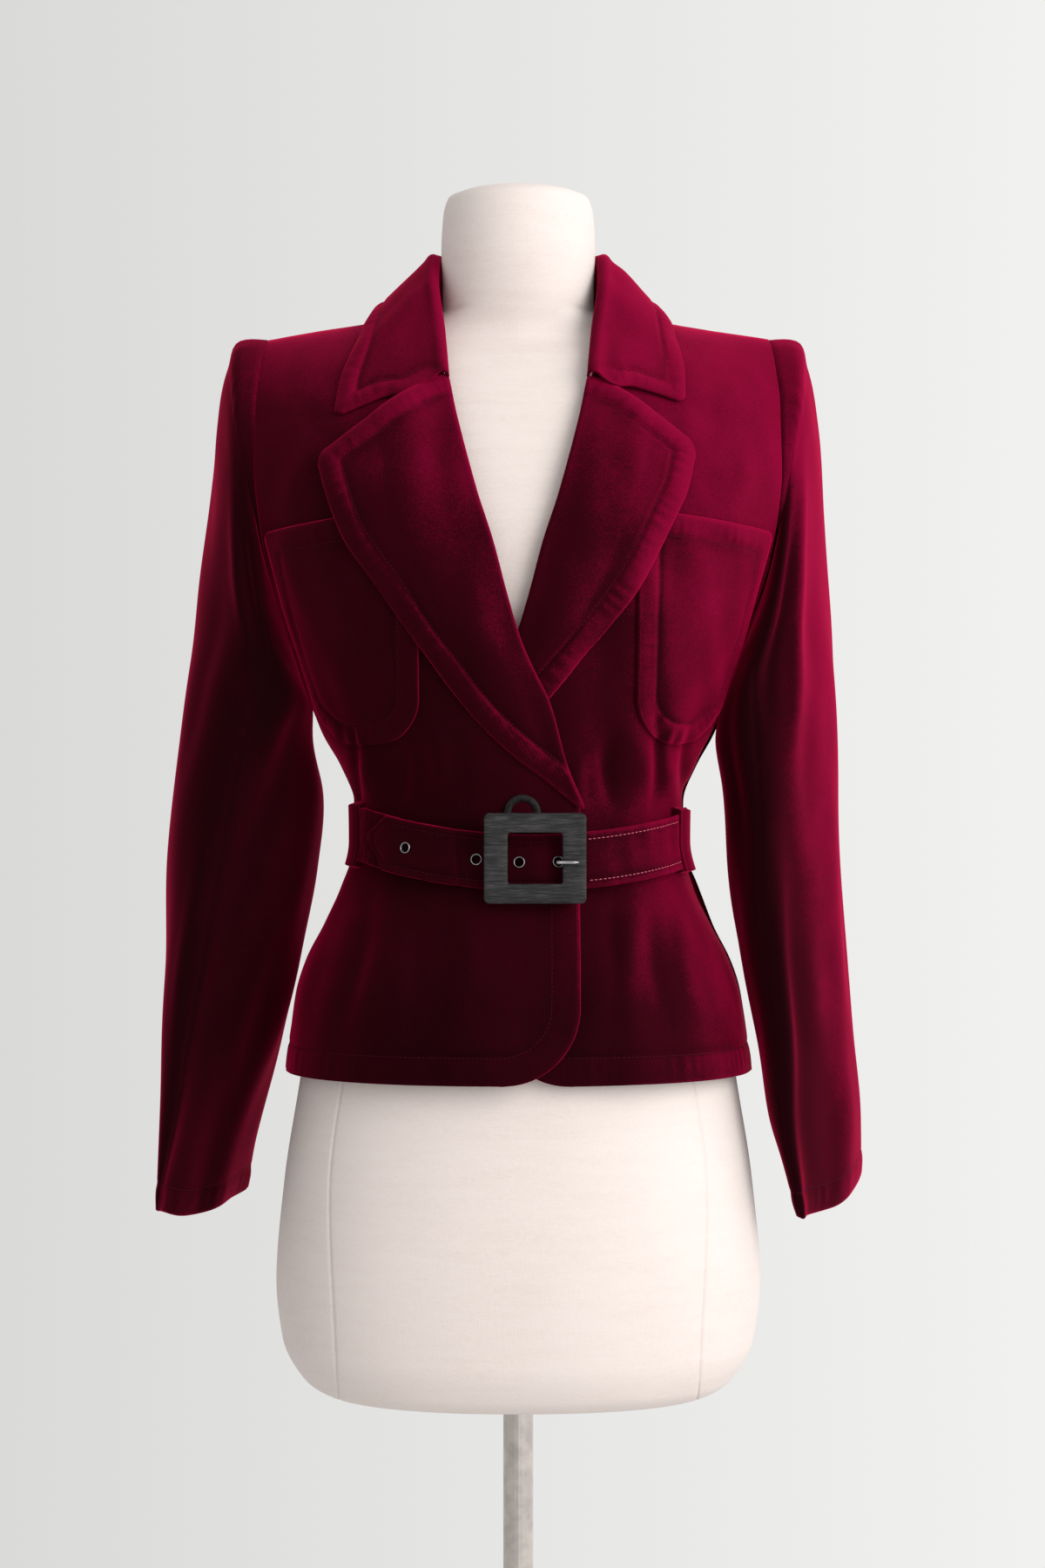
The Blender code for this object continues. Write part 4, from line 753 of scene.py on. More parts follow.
def through(stations, count):
    """Smooth rows through stations of points, evenly spread along their mean length."""
    chords = np.linalg.norm(np.diff(stations, axis=0), axis=2).mean(axis=1)
    keys = np.concatenate([[0.0], np.cumsum(chords)])
    slopes = np.gradient(stations, keys, axis=0)
    where = np.linspace(0, keys[-1], count)
    index = np.clip(np.searchsorted(keys, where) - 1, 0, len(keys) - 2)
    span = (keys[index + 1] - keys[index])[:, None, None]
    part = ((where - keys[index])[:, None, None]) / span
    rest = 1 - part
    rows = (
        stations[index] * rest * rest * (1 + 2 * part)
        + stations[index + 1] * part * part * (1 + 2 * rest)
        + span * part * rest * (slopes[index] * rest - slopes[index + 1] * part)
    )
    return rows, where


def contour(points, normals, distance, along, inset):
    """The line of a grid where the distance from a seam equals the inset, ordered along the seam."""
    places, facings, lengths = [], [], []
    for axis in (0, 1):
        first = [slice(None), slice(None)]
        second = [slice(None), slice(None)]
        first[axis], second[axis] = slice(None, -1), slice(1, None)
        first, second = tuple(first), tuple(second)
        crossing = (distance[first] - inset) * (distance[second] - inset) < 0
        start, end = distance[first][crossing], distance[second][crossing]
        part = ((inset - start) / (end - start))[:, None]
        places.append(points[first][crossing] * (1 - part) + points[second][crossing] * part)
        facings.append(normals[first][crossing])
        lengths.append(along[first][crossing])
    places, facings = np.concatenate(places), np.concatenate(facings)
    lengths = np.concatenate(lengths)
    bins = np.round(lengths / (2 * STITCH_PITCH)).astype(int)
    used = np.unique(bins)
    line = np.array([places[bins == number].mean(axis=0) for number in used])
    facing = unit(np.array([facings[bins == number].mean(axis=0) for number in used]))
    return line, facing


class Stitches:
    """Gathers stitches along sewn lines into one mesh."""

    def __init__(self):
        self.points, self.faces = [], []

    def sew(self, line, facing, pitch=STITCH_PITCH, radius=STITCH_RADIUS, longest_jump=0.03):
        steps = np.linalg.norm(np.diff(line, axis=0), axis=1)
        if len(steps) == 0:
            return
        length = np.concatenate([[0.0], np.cumsum(steps)])
        jumps = [(length[i], length[i + 1]) for i in range(len(steps)) if steps[i] > longest_jump]
        for start in np.arange(0.0, length[-1] - STITCH_LENGTH, pitch):
            if any(low < start + pitch and start < high for low, high in jumps):
                continue
            ends = [start, start + STITCH_LENGTH]
            pair = np.stack([np.interp(ends, length, line[:, axis]) for axis in range(3)], axis=1)
            up = np.array([np.interp(start, length, facing[:, axis]) for axis in range(3)])
            self.add(pair[0], pair[1], up / np.linalg.norm(up), radius)

    def add(self, start, end, up, radius):
        way = (end - start) / max(np.linalg.norm(end - start), 1e-9)
        side = np.cross(way, up)
        base = len(self.points)
        for share, size in ((0.0, 0.45), (0.22, 1.0), (0.78, 1.0), (1.0, 0.45)):
            middle = start + (end - start) * share + up * radius * 0.4 * size
            for corner in range(STITCH_SIDES):
                angle = 2 * math.pi * corner / STITCH_SIDES
                spoke = side * math.cos(angle) + up * math.sin(angle) * 0.8
                self.points.append(middle + spoke * radius * size)
        for ring in range(3):
            for corner in range(STITCH_SIDES):
                after = (corner + 1) % STITCH_SIDES
                low, high = base + ring * STITCH_SIDES, base + (ring + 1) * STITCH_SIDES
                self.faces.append([low + corner, low + after, high + after, high + corner])
        self.faces.append([base + corner for corner in range(STITCH_SIDES)][::-1])
        self.faces.append([base + 3 * STITCH_SIDES + corner for corner in range(STITCH_SIDES)])

    def finish(self, name, finish):
        return add_mesh(name, np.array(self.points), self.faces, finish)


def front_relief(side, base):
    """How far the fronts' outside stands off the plain body: lap, folds, creases, slackness."""
    lift = front_lift(side, base[..., 0])
    lift = lift + fold_rise(base, FRONT_FOLDS) + fold_rise(base, FRONT_CREASES)
    loose = 0.35 + 0.65 * smooth_step(1.36, 1.28, base[..., 2])
    quiet = 1 - 0.6 * bell(base[..., 2] - WAIST_FRONT_LEVEL, WAIST_SPREAD)
    slack = 0.00055 * soft_field(base, 0.050, 11) + 0.0008 * soft_field(base, 0.110, 12)
    return lift + slack * loose * quiet


def front_inner_edge(side, level):
    """Distance from the middle of the front's free edge, rounded at the hem."""
    lap = FRONT_LAP_RIGHT if side < 0 else FRONT_LAP_LEFT
    drop = np.maximum(HEM_LEVEL + HEM_CORNER_RADIUS - level, 0.0)
    inset = HEM_CORNER_RADIUS - np.sqrt(np.maximum(HEM_CORNER_RADIUS**2 - drop**2, 0.0))
    return np.where(drop > 0, inset - lap, np.maximum(ROLL_AT(level), -lap))


def armhole_turn(level):
    """The turn of the armhole seam, rounded like a U where it meets the side seam."""
    rounded = ARMHOLE[0].level
    share = np.clip((level - UNDERARM_LEVEL) / (rounded - UNDERARM_LEVEL), 0.0, 1.0)
    low = 1 - (1 - turn_at(ARMHOLE[0].x, rounded)) * np.sqrt(share)
    return np.where(level >= rounded, turn_at(ARMHOLE_AT(level), level), low)


def panel_outer_turn(level):
    return np.minimum(1 - SIDE_SEAM_TURN, armhole_turn(level))


def build_front(name, side, stitches, finish):
    swing = 1 - np.cos(np.linspace(0, math.pi / 2, FRONT_CORNER_ROWS))
    above = np.linspace(HEM_LEVEL + HEM_CORNER_RADIUS, SHOULDER_LEVEL, FRONT_ROWS)[1:]
    level = np.concatenate([HEM_LEVEL + HEM_CORNER_RADIUS * swing, above])[:, None]
    share = np.linspace(0, 1, FRONT_COLUMNS)[None, :]
    first = turn_at(front_inner_edge(side, level), level)
    turn = side * (first + (panel_outer_turn(level) - first) * share)
    level = np.broadcast_to(level, turn.shape)
    base, normal = plain_point(turn, level), outward(turn, level)
    edge = np.concatenate([base[FRONT_EDGE_ROWS::-1, 0], base[0, 1:]])
    distance, along = seam_field(base, edge)
    lift = front_relief(side, base)
    lift = lift + stitched_band(distance, along, HEM_BAND, 3.0 + side, HEM_RELIEF)
    outer = base + normal * lift[..., None]
    inner = outer - normal * CLOTH
    seam = BODY_AT["middle"](level) - SEAM_GAP
    inner[..., 1] = np.where(level > SHOULDER_SEAM_ZONE, np.minimum(inner[..., 1], seam), inner[..., 1])
    stitches.sew(*contour(outer, normal, distance, along, HEM_BAND))
    return add_shell(name, outer, inner, finish, nap_and_painted_light_field(outer, distance, HEM_BAND))


def build_back(stitches, finish):
    """One piece from side seam to side seam, its neck seam dipping between the shoulders."""
    share = np.linspace(-1, 1, BACK_COLUMNS)[:, None]
    level = np.linspace(HEM_LEVEL, SHOULDER_LEVEL, BACK_ROWS)[None, :]
    reach = np.abs(share) * ARMHOLE_AT(SHOULDER_LEVEL)
    dip = BACK_NECK_DIP * np.maximum(1 - (reach / ROLL[-1].x) ** 2, 0.0)
    room = SHOULDER_LEVEL - NECK_SQUEEZE_LEVEL
    squeezed = NECK_SQUEEZE_LEVEL + (level - NECK_SQUEEZE_LEVEL) * (room - dip) / room
    level = np.where(level > NECK_SQUEEZE_LEVEL, squeezed, level)
    turn = 2 + share * panel_outer_turn(level)
    base, normal = plain_point(turn, level), outward(turn, level)
    distance, along = seam_field(base, base[:, 0])
    loose = smooth_step(1.40, 1.34, level)
    lift = (0.0007 * soft_field(base, 0.055, 21) + 0.0010 * soft_field(base, 0.120, 22)) * loose
    waist = bell(level - WAIST_BACK_LEVEL, WAIST_SPREAD)
    lift = lift * (1 - 0.7 * waist) - 0.0008 * bell(base[..., 0], 0.0014) * loose
    for fold in BACK_FOLDS:
        fade = smooth_step(1.052, 1.075, level) * smooth_step(fold.top, 1.08, level)
        lift = lift + fold.rise * bell(base[..., 0] - fold.x, 0.012) * fade
    for fold in SKIRT_FOLDS:
        lean = fold.x * (1 + 2.2 * (1.03 - level))
        fade = smooth_step(1.022, 0.99, level) * smooth_step(0.885, 0.93, level)
        lift = lift + fold.rise * bell(base[..., 0] - lean, 0.014) * fade
    lift = lift + stitched_band(distance, along, HEM_BAND, 5.0, HEM_RELIEF)
    outer = base + normal * lift[..., None]
    inner = outer - normal * CLOTH
    seam = BODY_AT["middle"](level) + SEAM_GAP
    inner[..., 1] = np.where(level > SHOULDER_SEAM_ZONE, np.maximum(inner[..., 1], seam), inner[..., 1])
    stitches.sew(*contour(outer, normal, distance, along, HEM_BAND))
    return add_shell("jacket_back", outer, inner, finish, nap_and_painted_light_field(outer, distance, HEM_BAND))


def armhole_loop(side, angle):
    """Points of the armhole seam: angle 0 at the shoulder, half a turn at the underarm."""
    half = (SHOULDER_LEVEL - UNDERARM_LEVEL) / 2
    level = UNDERARM_LEVEL + half * (1 + np.cos(angle))
    turn = armhole_turn(level)
    return plain_point(side * np.where(np.sin(angle) < 0, 2 - turn, turn), level)


def sleeve_ring(side, ring, angle):
    """Ring points: the outer point at angle 0, the front at a quarter turn for either side."""
    centre_x = side * (ring.outer_x + ring.inner_x) / 2
    centre_z = (ring.outer_z + ring.inner_z) / 2
    chord = np.array([side * (ring.outer_x - ring.inner_x) / 2, 0.0, (ring.outer_z - ring.inner_z) / 2])
    depth = -ring.half_depth * np.sin(angle)
    spread = ring.shear * ring.half_depth / np.linalg.norm(chord)
    narrowed = math.sqrt(max(1 - spread * spread, 0.1))
    along = narrowed * np.cos(angle) + side * spread * depth / ring.half_depth
    middle = SLEEVE_MIDDLE_TOP - SLEEVE_MIDDLE_SWING * float(smooth_step(UNDERARM_LEVEL, 0.8, centre_z))
    points = np.array([centre_x, 0.0, centre_z]) + chord * along[:, None]
    points[:, 1] += middle + depth
    facing = SLEEVE_HOLLOW_WAY[1] * np.sin(angle) - SLEEVE_HOLLOW_WAY[0] * side * np.cos(angle)
    push = ring.hollow * bell(1 - facing, SLEEVE_HOLLOW_SPREAD)
    points[:, 0] += SLEEVE_HOLLOW_WAY[0] * push
    points[:, 1] += SLEEVE_HOLLOW_WAY[1] * push
    seam = armhole_loop(side, angle)
    head = ring.outer_x - ARMHOLE[-1].x
    seam[:, 0] += side * (SLEEVE_UNDERARM_EASE + head * (0.5 + 0.5 * np.cos(angle)))
    return points * (1 - ring.armhole) + seam * ring.armhole


def build_sleeve(name, side, rings, folds, stitches, finish):
    """A set-in tube with long creases, two sewn seams and a slack cuff."""
    angle = np.linspace(0, 2 * math.pi, SLEEVE_COLUMNS, endpoint=False)
    seam = armhole_loop(side, angle) + np.array([side * 2 * SEAM_GAP, 0.0, 0.0])
    stations = np.stack([seam] + [sleeve_ring(side, ring, angle) for ring in rings])
    grid, length = through(stations, SLEEVE_ROWS)
    share = (length / length[-1])[:, None]
    degrees = np.degrees(angle)[None, :]
    normal = grid_normals(grid, ring=True) * side
    lift = (0.0007 * soft_field(grid, 0.05, 31 + side) + 0.0010 * soft_field(grid, 0.11, 41 + side))
    lift = lift * smooth_step(0.0, 0.08, share)
    for number, fold in enumerate(folds):
        part = np.clip((share - fold.start) / (fold.end - fold.start), 0.0, 1.0)
        middle = fold.turn + fold.drift * part + 3.0 * np.sin(9.0 * part + number)
        gap = (degrees - middle + 180.0) % 360.0 - 180.0
        lift = lift + fold.rise * bell(gap, fold.width) * np.sin(math.pi * part) ** 2
    for seam_turn in SLEEVE_SEAM_TURNS:
        gap = (degrees - seam_turn - 6.0 * share + 180.0) % 360.0 - 180.0
        lift = lift - 0.0007 * bell(gap, 1.9) * smooth_step(0.10, 0.2, share)
    distance = np.broadcast_to(length[-1] - length[:, None], lift.shape)
    around = np.broadcast_to(degrees / 360.0 * 0.24, lift.shape)
    lift = lift + stitched_band(distance, around, CUFF_BAND, 7.0 + side, CUFF_RELIEF)
    head = bell(length[:, None] - 0.012, 0.009)
    from_top = np.abs((degrees + 180) % 360 - 180)
    gathers = 0.0005 * uneven(degrees / 360.0 * 0.5, 0.0125, 1.0) * smooth_step(95.0, 50.0, from_top)
    lift = lift + head * gathers
    outer = grid + normal * lift[..., None]
    aside = np.abs(outer[..., 0])
    low, high = aside.min(axis=1, keepdims=True), aside.max(axis=1, keepdims=True)
    aside = 2 * (aside - low) / (high - low) - 1
    rise = CUFF_OUTER_RISE * np.clip(aside, 0.0, 1.0) ** 2 + CUFF_INNER_RISE * np.clip(-aside, 0.0, 1.0) ** 2
    outer[..., 2] += rise * smooth_step(CUFF_RISE_STARTS, 1.0, share)
    snug = bell(outer[..., 2] - SLEEVE_SNUG_LEVEL, SLEEVE_SNUG_SPREAD)
    snug = snug * np.clip(-aside, 0.0, 1.0) ** 2
    outer[..., 0] -= side * snug * (SLEEVE_SNUG_LEFT if side > 0 else SLEEVE_SNUG_RIGHT)
    inner = outer - normal * CLOTH
    centre = outer[0].mean(axis=0)
    towards = centre - outer[0]
    towards[:, 0] = 0.0
    inner[0] = outer[0] + unit(towards) * CLOTH
    row = int(np.argmin(np.abs(distance[:, 0] - CUFF_BAND)))
    closed = np.concatenate([outer[row], outer[row][:1]])
    stitches.sew(closed, np.concatenate([normal[row], normal[row][:1]]))
    # The sleeve is painted darker as shade, and lighter towards its outer side as painted light
    sleeve_painted_light = SLEEVE_PAINTED_LIGHT_LEFT if side > 0 else SLEEVE_PAINTED_LIGHT_RIGHT
    nap_and_painted_light = nap_and_painted_light_field(outer, distance, CUFF_BAND) + sleeve_painted_light.middle + sleeve_painted_light.outward * smooth_step(-0.6, 0.7, aside)
    return add_shell(name, outer, inner, finish, nap_and_painted_light, ring=True)


def build_lapel(name, side, edges, stitches, finish):
    edge_at = curve(edges, "x")
    bottom, top = edges[0].level, edges[-1].level
    part = np.linspace(0, 1, LAPEL_ROWS)[:, None]
    flat = np.linspace(0, 1, LAPEL_COLUMNS)[None, :]
    edge_level = bottom + (top - bottom) * part
    level = edge_level + (LAPEL_INNER_TOP - top) * part**6 * (1 - flat**LAPEL_TOP_BOW)
    roll_x = ROLL_AT(level)
    edge_x = np.maximum(edge_at(edge_level), roll_x + LAPEL_LEAST_WIDTH)
    x = roll_x + (edge_x - roll_x) * flat
    turn = side * turn_at(x, level)
    base, normal = round_corner(plain_point(turn, level), LAPEL_CORNER), outward(turn, level)
    open_part = smooth_step(LAPEL_RISE_STARTS, LAPEL_RISE_FULL, level)
    rise = LAPEL_EDGE_RISE * smooth_step(0.0, 0.6, flat) * open_part
    border = np.concatenate([base[:, -1], base[-1, ::-1]])
    distance, along = seam_field(base, border)
    relief = stitched_band(distance, along, LAPEL_BAND, 9.0 + side, LAPEL_RELIEF)
    relief = relief * smooth_step(0.0, 0.012, (edge_x - roll_x) - LAPEL_BAND * 0.5)
    swell = 0.0022 * np.sin(math.pi * np.minimum(flat * 1.6, 1.0)) * smooth_step(0.02, 0.06, edge_x - roll_x)
    soft = 0.0009 * soft_field(base, 0.045, 51 + side) * smooth_step(0.0, 0.25, flat)
    under = front_relief(side, base) + LAPEL_LIFT + rise
    outer = base + normal * (under + CLOTH + np.maximum(relief + soft + swell, -0.0006))[..., None]
    inner = base + normal * under[..., None]
    bend = np.linspace(-math.pi / 2, math.pi / 2, LAPEL_ROLL_STEPS)[None, :, None]
    low = base[:, :1] + normal[:, :1] * (under[:, :1] - LAPEL_LIFT - CLOTH)[..., None]
    top_edge = outer[:, :1]
    towards = unit(base[:, :1] - base[:, 1:2])
    roll = (low + top_edge) / 2 + (top_edge - low) / 2 * np.sin(bend)
    roll = roll + towards * LAPEL_ROLL_WIDTH * np.cos(bend)
    wrapped = np.concatenate([roll[:, :-1], outer], axis=1)
    hidden = (low + inner[:, :1]) / 2 + (inner[:, :1] - low) / 2 * np.sin(bend)
    hidden = hidden + towards * LAPEL_ROLL_WIDTH * 0.4 * np.cos(bend)
    under_side = np.concatenate([hidden[:, :-1], inner], axis=1)
    seen = slice(int(len(part) * 0.12), None)
    stitches.sew(*contour(outer[seen], normal[seen], distance[seen], along[seen], LAPEL_BAND))
    added = LAPEL_ROLL_STEPS - 1
    band, reach = (
        np.concatenate([np.repeat(field[:, :1], added, axis=1), field], axis=1) for field in (distance, along)
    )
    return add_shell(name, wrapped, under_side, finish, nap_and_painted_light_field(wrapped, band, LAPEL_BAND, reach, 0.07))


def build_pocket(name, side, edges, stitches, finish):
    inner_at, outer_at = curve(edges, "inner_x"), curve(edges, "outer_x")
    bottom, top = edges[0].level, edges[-1].level
    part = np.linspace(0, 1, POCKET_ROWS)[:, None] ** 1.6
    share = np.linspace(0, 1, POCKET_COLUMNS)[None, :]
    level = bottom + (top - bottom) * part
    drop = np.maximum(POCKET_CORNER - (level - bottom), 0.0)
    round_in = POCKET_CORNER - np.sqrt(np.maximum(POCKET_CORNER**2 - drop**2, 0.0))
    first, last = inner_at(level) + 0.8 * round_in, outer_at(level) - 0.5 * round_in
    x = first + (last - first) * share
    tilted = level - POCKET_TOP_SLANT * part**3 * (last - first) * (share - 0.5)
    turn = side * turn_at(x, tilted)
    base, normal = round_corner(plain_point(turn, tilted), POCKET_TOP_CORNER), outward(turn, tilted)
    base = round_corner(base[:, ::-1], POCKET_TOP_CORNER)[:, ::-1]
    border = np.concatenate([base[:, 0][::-1], base[0, 1:], base[1:, -1], base[-1, -2::-1]])
    distance, along = seam_field(base, border)
    relief = stitched_band(distance, along, POCKET_BAND, 13.0 + side, POCKET_RELIEF)
    below = bell(level - bottom, 0.014)
    relief = relief + 0.0008 * uneven(along, 0.016, 2.0 + side) * below * smooth_step(0.022, 0.004, distance)
    soft = 0.0007 * soft_field(base, 0.04, 61 + side) * smooth_step(0.0, 0.012, distance)
    under = front_relief(side, base) + POCKET_LIFT
    outer = base + normal * (under + CLOTH + np.clip(relief + soft, -0.0011, 0.0022))[..., None]
    inner = base + normal * under[..., None]
    stitches.sew(*contour(outer, normal, distance, along, POCKET_BAND))
    return add_shell(name, outer, inner, finish, nap_and_painted_light_field(outer, distance, POCKET_BAND, along))


def to_gorge(side, around, points):
    """Points of the collar's leaf, drawn down to the lapel's top edge near the front ends."""
    x = np.abs(points[:, 0])
    notch = np.where(side < 0, NOTCH_RIGHT_X, NOTCH_LEFT_X)
    tip_x = np.where(side < 0, LAPEL_RIGHT[-1].x, LAPEL_LEFT[-1].x)
    tip_level = np.where(side < 0, LAPEL_RIGHT[-1].level, LAPEL_LEFT[-1].level)
    first = ROLL_AT(LAPEL_INNER_TOP)
    share = np.clip((x - first) / (tip_x - first), 0.0, 1.0)
    level = tip_level + (LAPEL_INNER_TOP - tip_level) * (1 - share**LAPEL_TOP_BOW) + GORGE_GAP
    near = smooth_step(0.80, 1.0, np.abs(around)) * smooth_step(notch + 0.010, notch - 0.006, x)
    lift = LAPEL_LIFT + CLOTH + COLLAR_LEAF_LIFT
    turn = side * turn_at(x, level)
    target = plain_point(turn, level) + outward(turn, level) * lift
    return points + (target - points) * near[:, None]


def build_collar(stitches, finish):
    around = np.linspace(-1, 1, COLLAR_COLUMNS)
    side = np.where(around < 0, -1.0, 1.0)
    at = {field: COLLAR_AT[field](np.abs(around)) for field in CollarRow._fields[1:]}
    fold = np.stack([side * at["fold_x"], at["fold_y"], at["fold_z"]], axis=-1)
    foot = np.stack([side * at["foot_x"], at["foot_y"], at["foot_z"]], axis=-1)
    skew = smooth_step(0.6, 1.0, np.abs(around))
    reach = np.where(side < 0, COLLAR_RIGHT_REACH, COLLAR_LEFT_REACH) * skew
    leaf_level = SHOULDER_LEVEL - np.abs(at["leaf_drop"]) - np.where(side < 0, COLLAR_RIGHT_DROP, 0.0) * skew
    turn = turn_at(at["leaf_x"] + reach, leaf_level)
    turn = side * np.where(at["leaf_drop"] < 0, 2 - turn, turn)
    leaf = plain_point(turn, leaf_level) + outward(turn, leaf_level) * COLLAR_LEAF_LIFT
    leaf[:, 2] += COLLAR_LEAF_LIFT * smooth_step(0.022, 0.008, np.abs(at["leaf_drop"]))
    away = leaf - foot
    away[:, 2] = 0.0
    away = unit(away)
    drop = np.array([0.0, 0.0, -COLLAR_FOLD_RADIUS])
    inside = fold - away * COLLAR_FOLD_RADIUS + drop
    outside = fold + away * COLLAR_FOLD_RADIUS + drop
    columns = [foot + (inside - foot) * share for share in np.linspace(0, 1, COLLAR_STAND_ROWS)[:-1]]
    for turned in np.linspace(0, math.pi, COLLAR_FOLD_ROWS)[:-1]:
        ride = -away * math.cos(turned) * COLLAR_FOLD_RADIUS
        columns.append(fold + ride + drop * (1 - math.sin(turned)))
    stand = len(columns)
    for share in np.linspace(0, 1, COLLAR_LEAF_ROWS):
        swell = COLLAR_LEAF_SWELL * math.sin(math.pi * share)
        point = outside + (leaf - outside) * share + (away * 0.6 + np.array([0.0, 0.0, 0.8])) * swell
        columns.append(to_gorge(side, around, point))
    grid = np.stack(columns, axis=1)
    for _ in range(8):
        grid[:, 1:-1] = 0.5 * grid[:, 1:-1] + 0.25 * (grid[:, :-2] + grid[:, 2:])
    grid = round_corner(round_corner(grid, COLLAR_CORNER)[::-1], COLLAR_CORNER)[::-1]
    normal = -grid_normals(grid)
    fall = grid[:, stand:]
    border = np.concatenate([fall[0, 4:], fall[1:, -1], fall[-1, -2:3:-1]])
    distance, along = seam_field(grid, border)
    seen = np.zeros(grid.shape[:2])
    seen[:, stand:] = smooth_step(0, 10, np.arange(COLLAR_LEAF_ROWS))[None, :]
    relief = stitched_band(distance, along, COLLAR_BAND, 17.0, COLLAR_RELIEF) * seen
    soft = 0.0007 * soft_field(grid, 0.04, 71) * seen * smooth_step(0.0, 0.010, distance)
    outer = grid + normal * (CLOTH / 2 + np.maximum(relief + soft, -0.0005))[..., None]
    inner = grid - normal * CLOTH / 2
    shown = (slice(None), slice(stand, None))
    stitches.sew(*contour(outer[shown], normal[shown], distance[shown], along[shown], COLLAR_BAND))
    nap_and_painted_light = nap_and_painted_light_field(outer, distance, COLLAR_BAND, along, 0.05)
    return add_shell("jacket_collar", outer, inner, finish, nap_and_painted_light)


def nap_and_painted_light_field(points, distance, band, along=None, light=0.03):
    """Tone of the pile, 0 to 1: random brushed patches, a painted highlight along edges, a lighter stitched
    band that is partly pressed pile and partly painted sheen, painted shade beside the band's groove and
    painted light and shade on its puckers.
    """
    nap_and_painted_light = 0.45 + 0.020 * soft_field(points, 0.085, 81) + 0.010 * soft_field(points, 0.030, 82)
    # Painted highlight along the edges, where the pile catches light
    nap_and_painted_light = nap_and_painted_light + 0.06 * bell(distance, 0.0018)
    # The stitched band is lighter: partly pressed pile, partly painted sheen on its puffed shape
    nap_and_painted_light = nap_and_painted_light + light * smooth_step(band * 1.1, band * 0.85, distance)
    # Painted shade along the groove beside the band
    nap_and_painted_light = nap_and_painted_light - 0.05 * bell(distance - 1.15 * band, 0.0035)
    if along is not None:
        # Painted light and shade in waves along the puckered band
        near = bell(distance - 0.6 * band, 0.4 * band)
        nap_and_painted_light = nap_and_painted_light + 0.4 * light * uneven(along, 0.0088, 3.0) * near
    return np.clip(nap_and_painted_light, 0.0, 1.0)


def level_point(turn, level, lift):
    """Points at a level distance from the jacket's outside, for the upright belt."""
    normal = outward(turn, level)
    normal[..., 2] = 0.0
    return plain_point(turn, level) + unit(normal) * np.asarray(lift)[..., None]


def belt_middle(turn):
    """The belt's middle height, which dips towards the centre front."""
    place = plain_point(turn, BELT_LEVEL_SIDE)
    part = (place[..., 0] - BELT_DIP_CENTRE_X) / BELT_DIP_HALF_WIDTH
    dip = BELT_FRONT_DIP * np.maximum(1 - part * part, 0.0)
    return BELT_LEVEL_SIDE - np.where(place[..., 1] > 0, 0.0, dip)


def belt_turn(x):
    return turn_at(np.asarray(x, float), BELT_LEVEL_SIDE)


def belt_lift(along):
    """How far the belt's underside stands off the jacket, clear of the lapped fronts."""
    along = np.asarray(along, float)
    turn = np.where(along > -2, along, along + 4)
    climb = np.where(along > -2, 0.0, BELT_LAYER * smooth_step(1.0, 0.45, turn))
    return BELT_LIFT + OVERLAP_RISE * smooth_step(0.95, 0.6, np.abs(turn)) + climb


def belt_point(along, height, depth):
    """Points of the belt: height from its middle line, depth from its underside."""
    along, height, depth = np.broadcast_arrays(
        np.asarray(along, float), np.asarray(height, float), np.asarray(depth, float)
    )
    turn = np.where(along > -2, along, along + 4)
    window = (plain_point(turn, BELT_LEVEL_SIDE)[..., 0] - BUCKLE_X) / (BUCKLE_WINDOW_WIDTH / 2)
    crown = (1 - (2 * height / BELT_HEIGHT) ** 2) * np.cos(np.clip(window, -1, 1) * math.pi / 2) ** 2
    lift = belt_lift(along) + np.where(along < -3, WINDOW_BULGE * crown, 0.0)
    return level_point(turn, belt_middle(turn) + height, lift + depth)


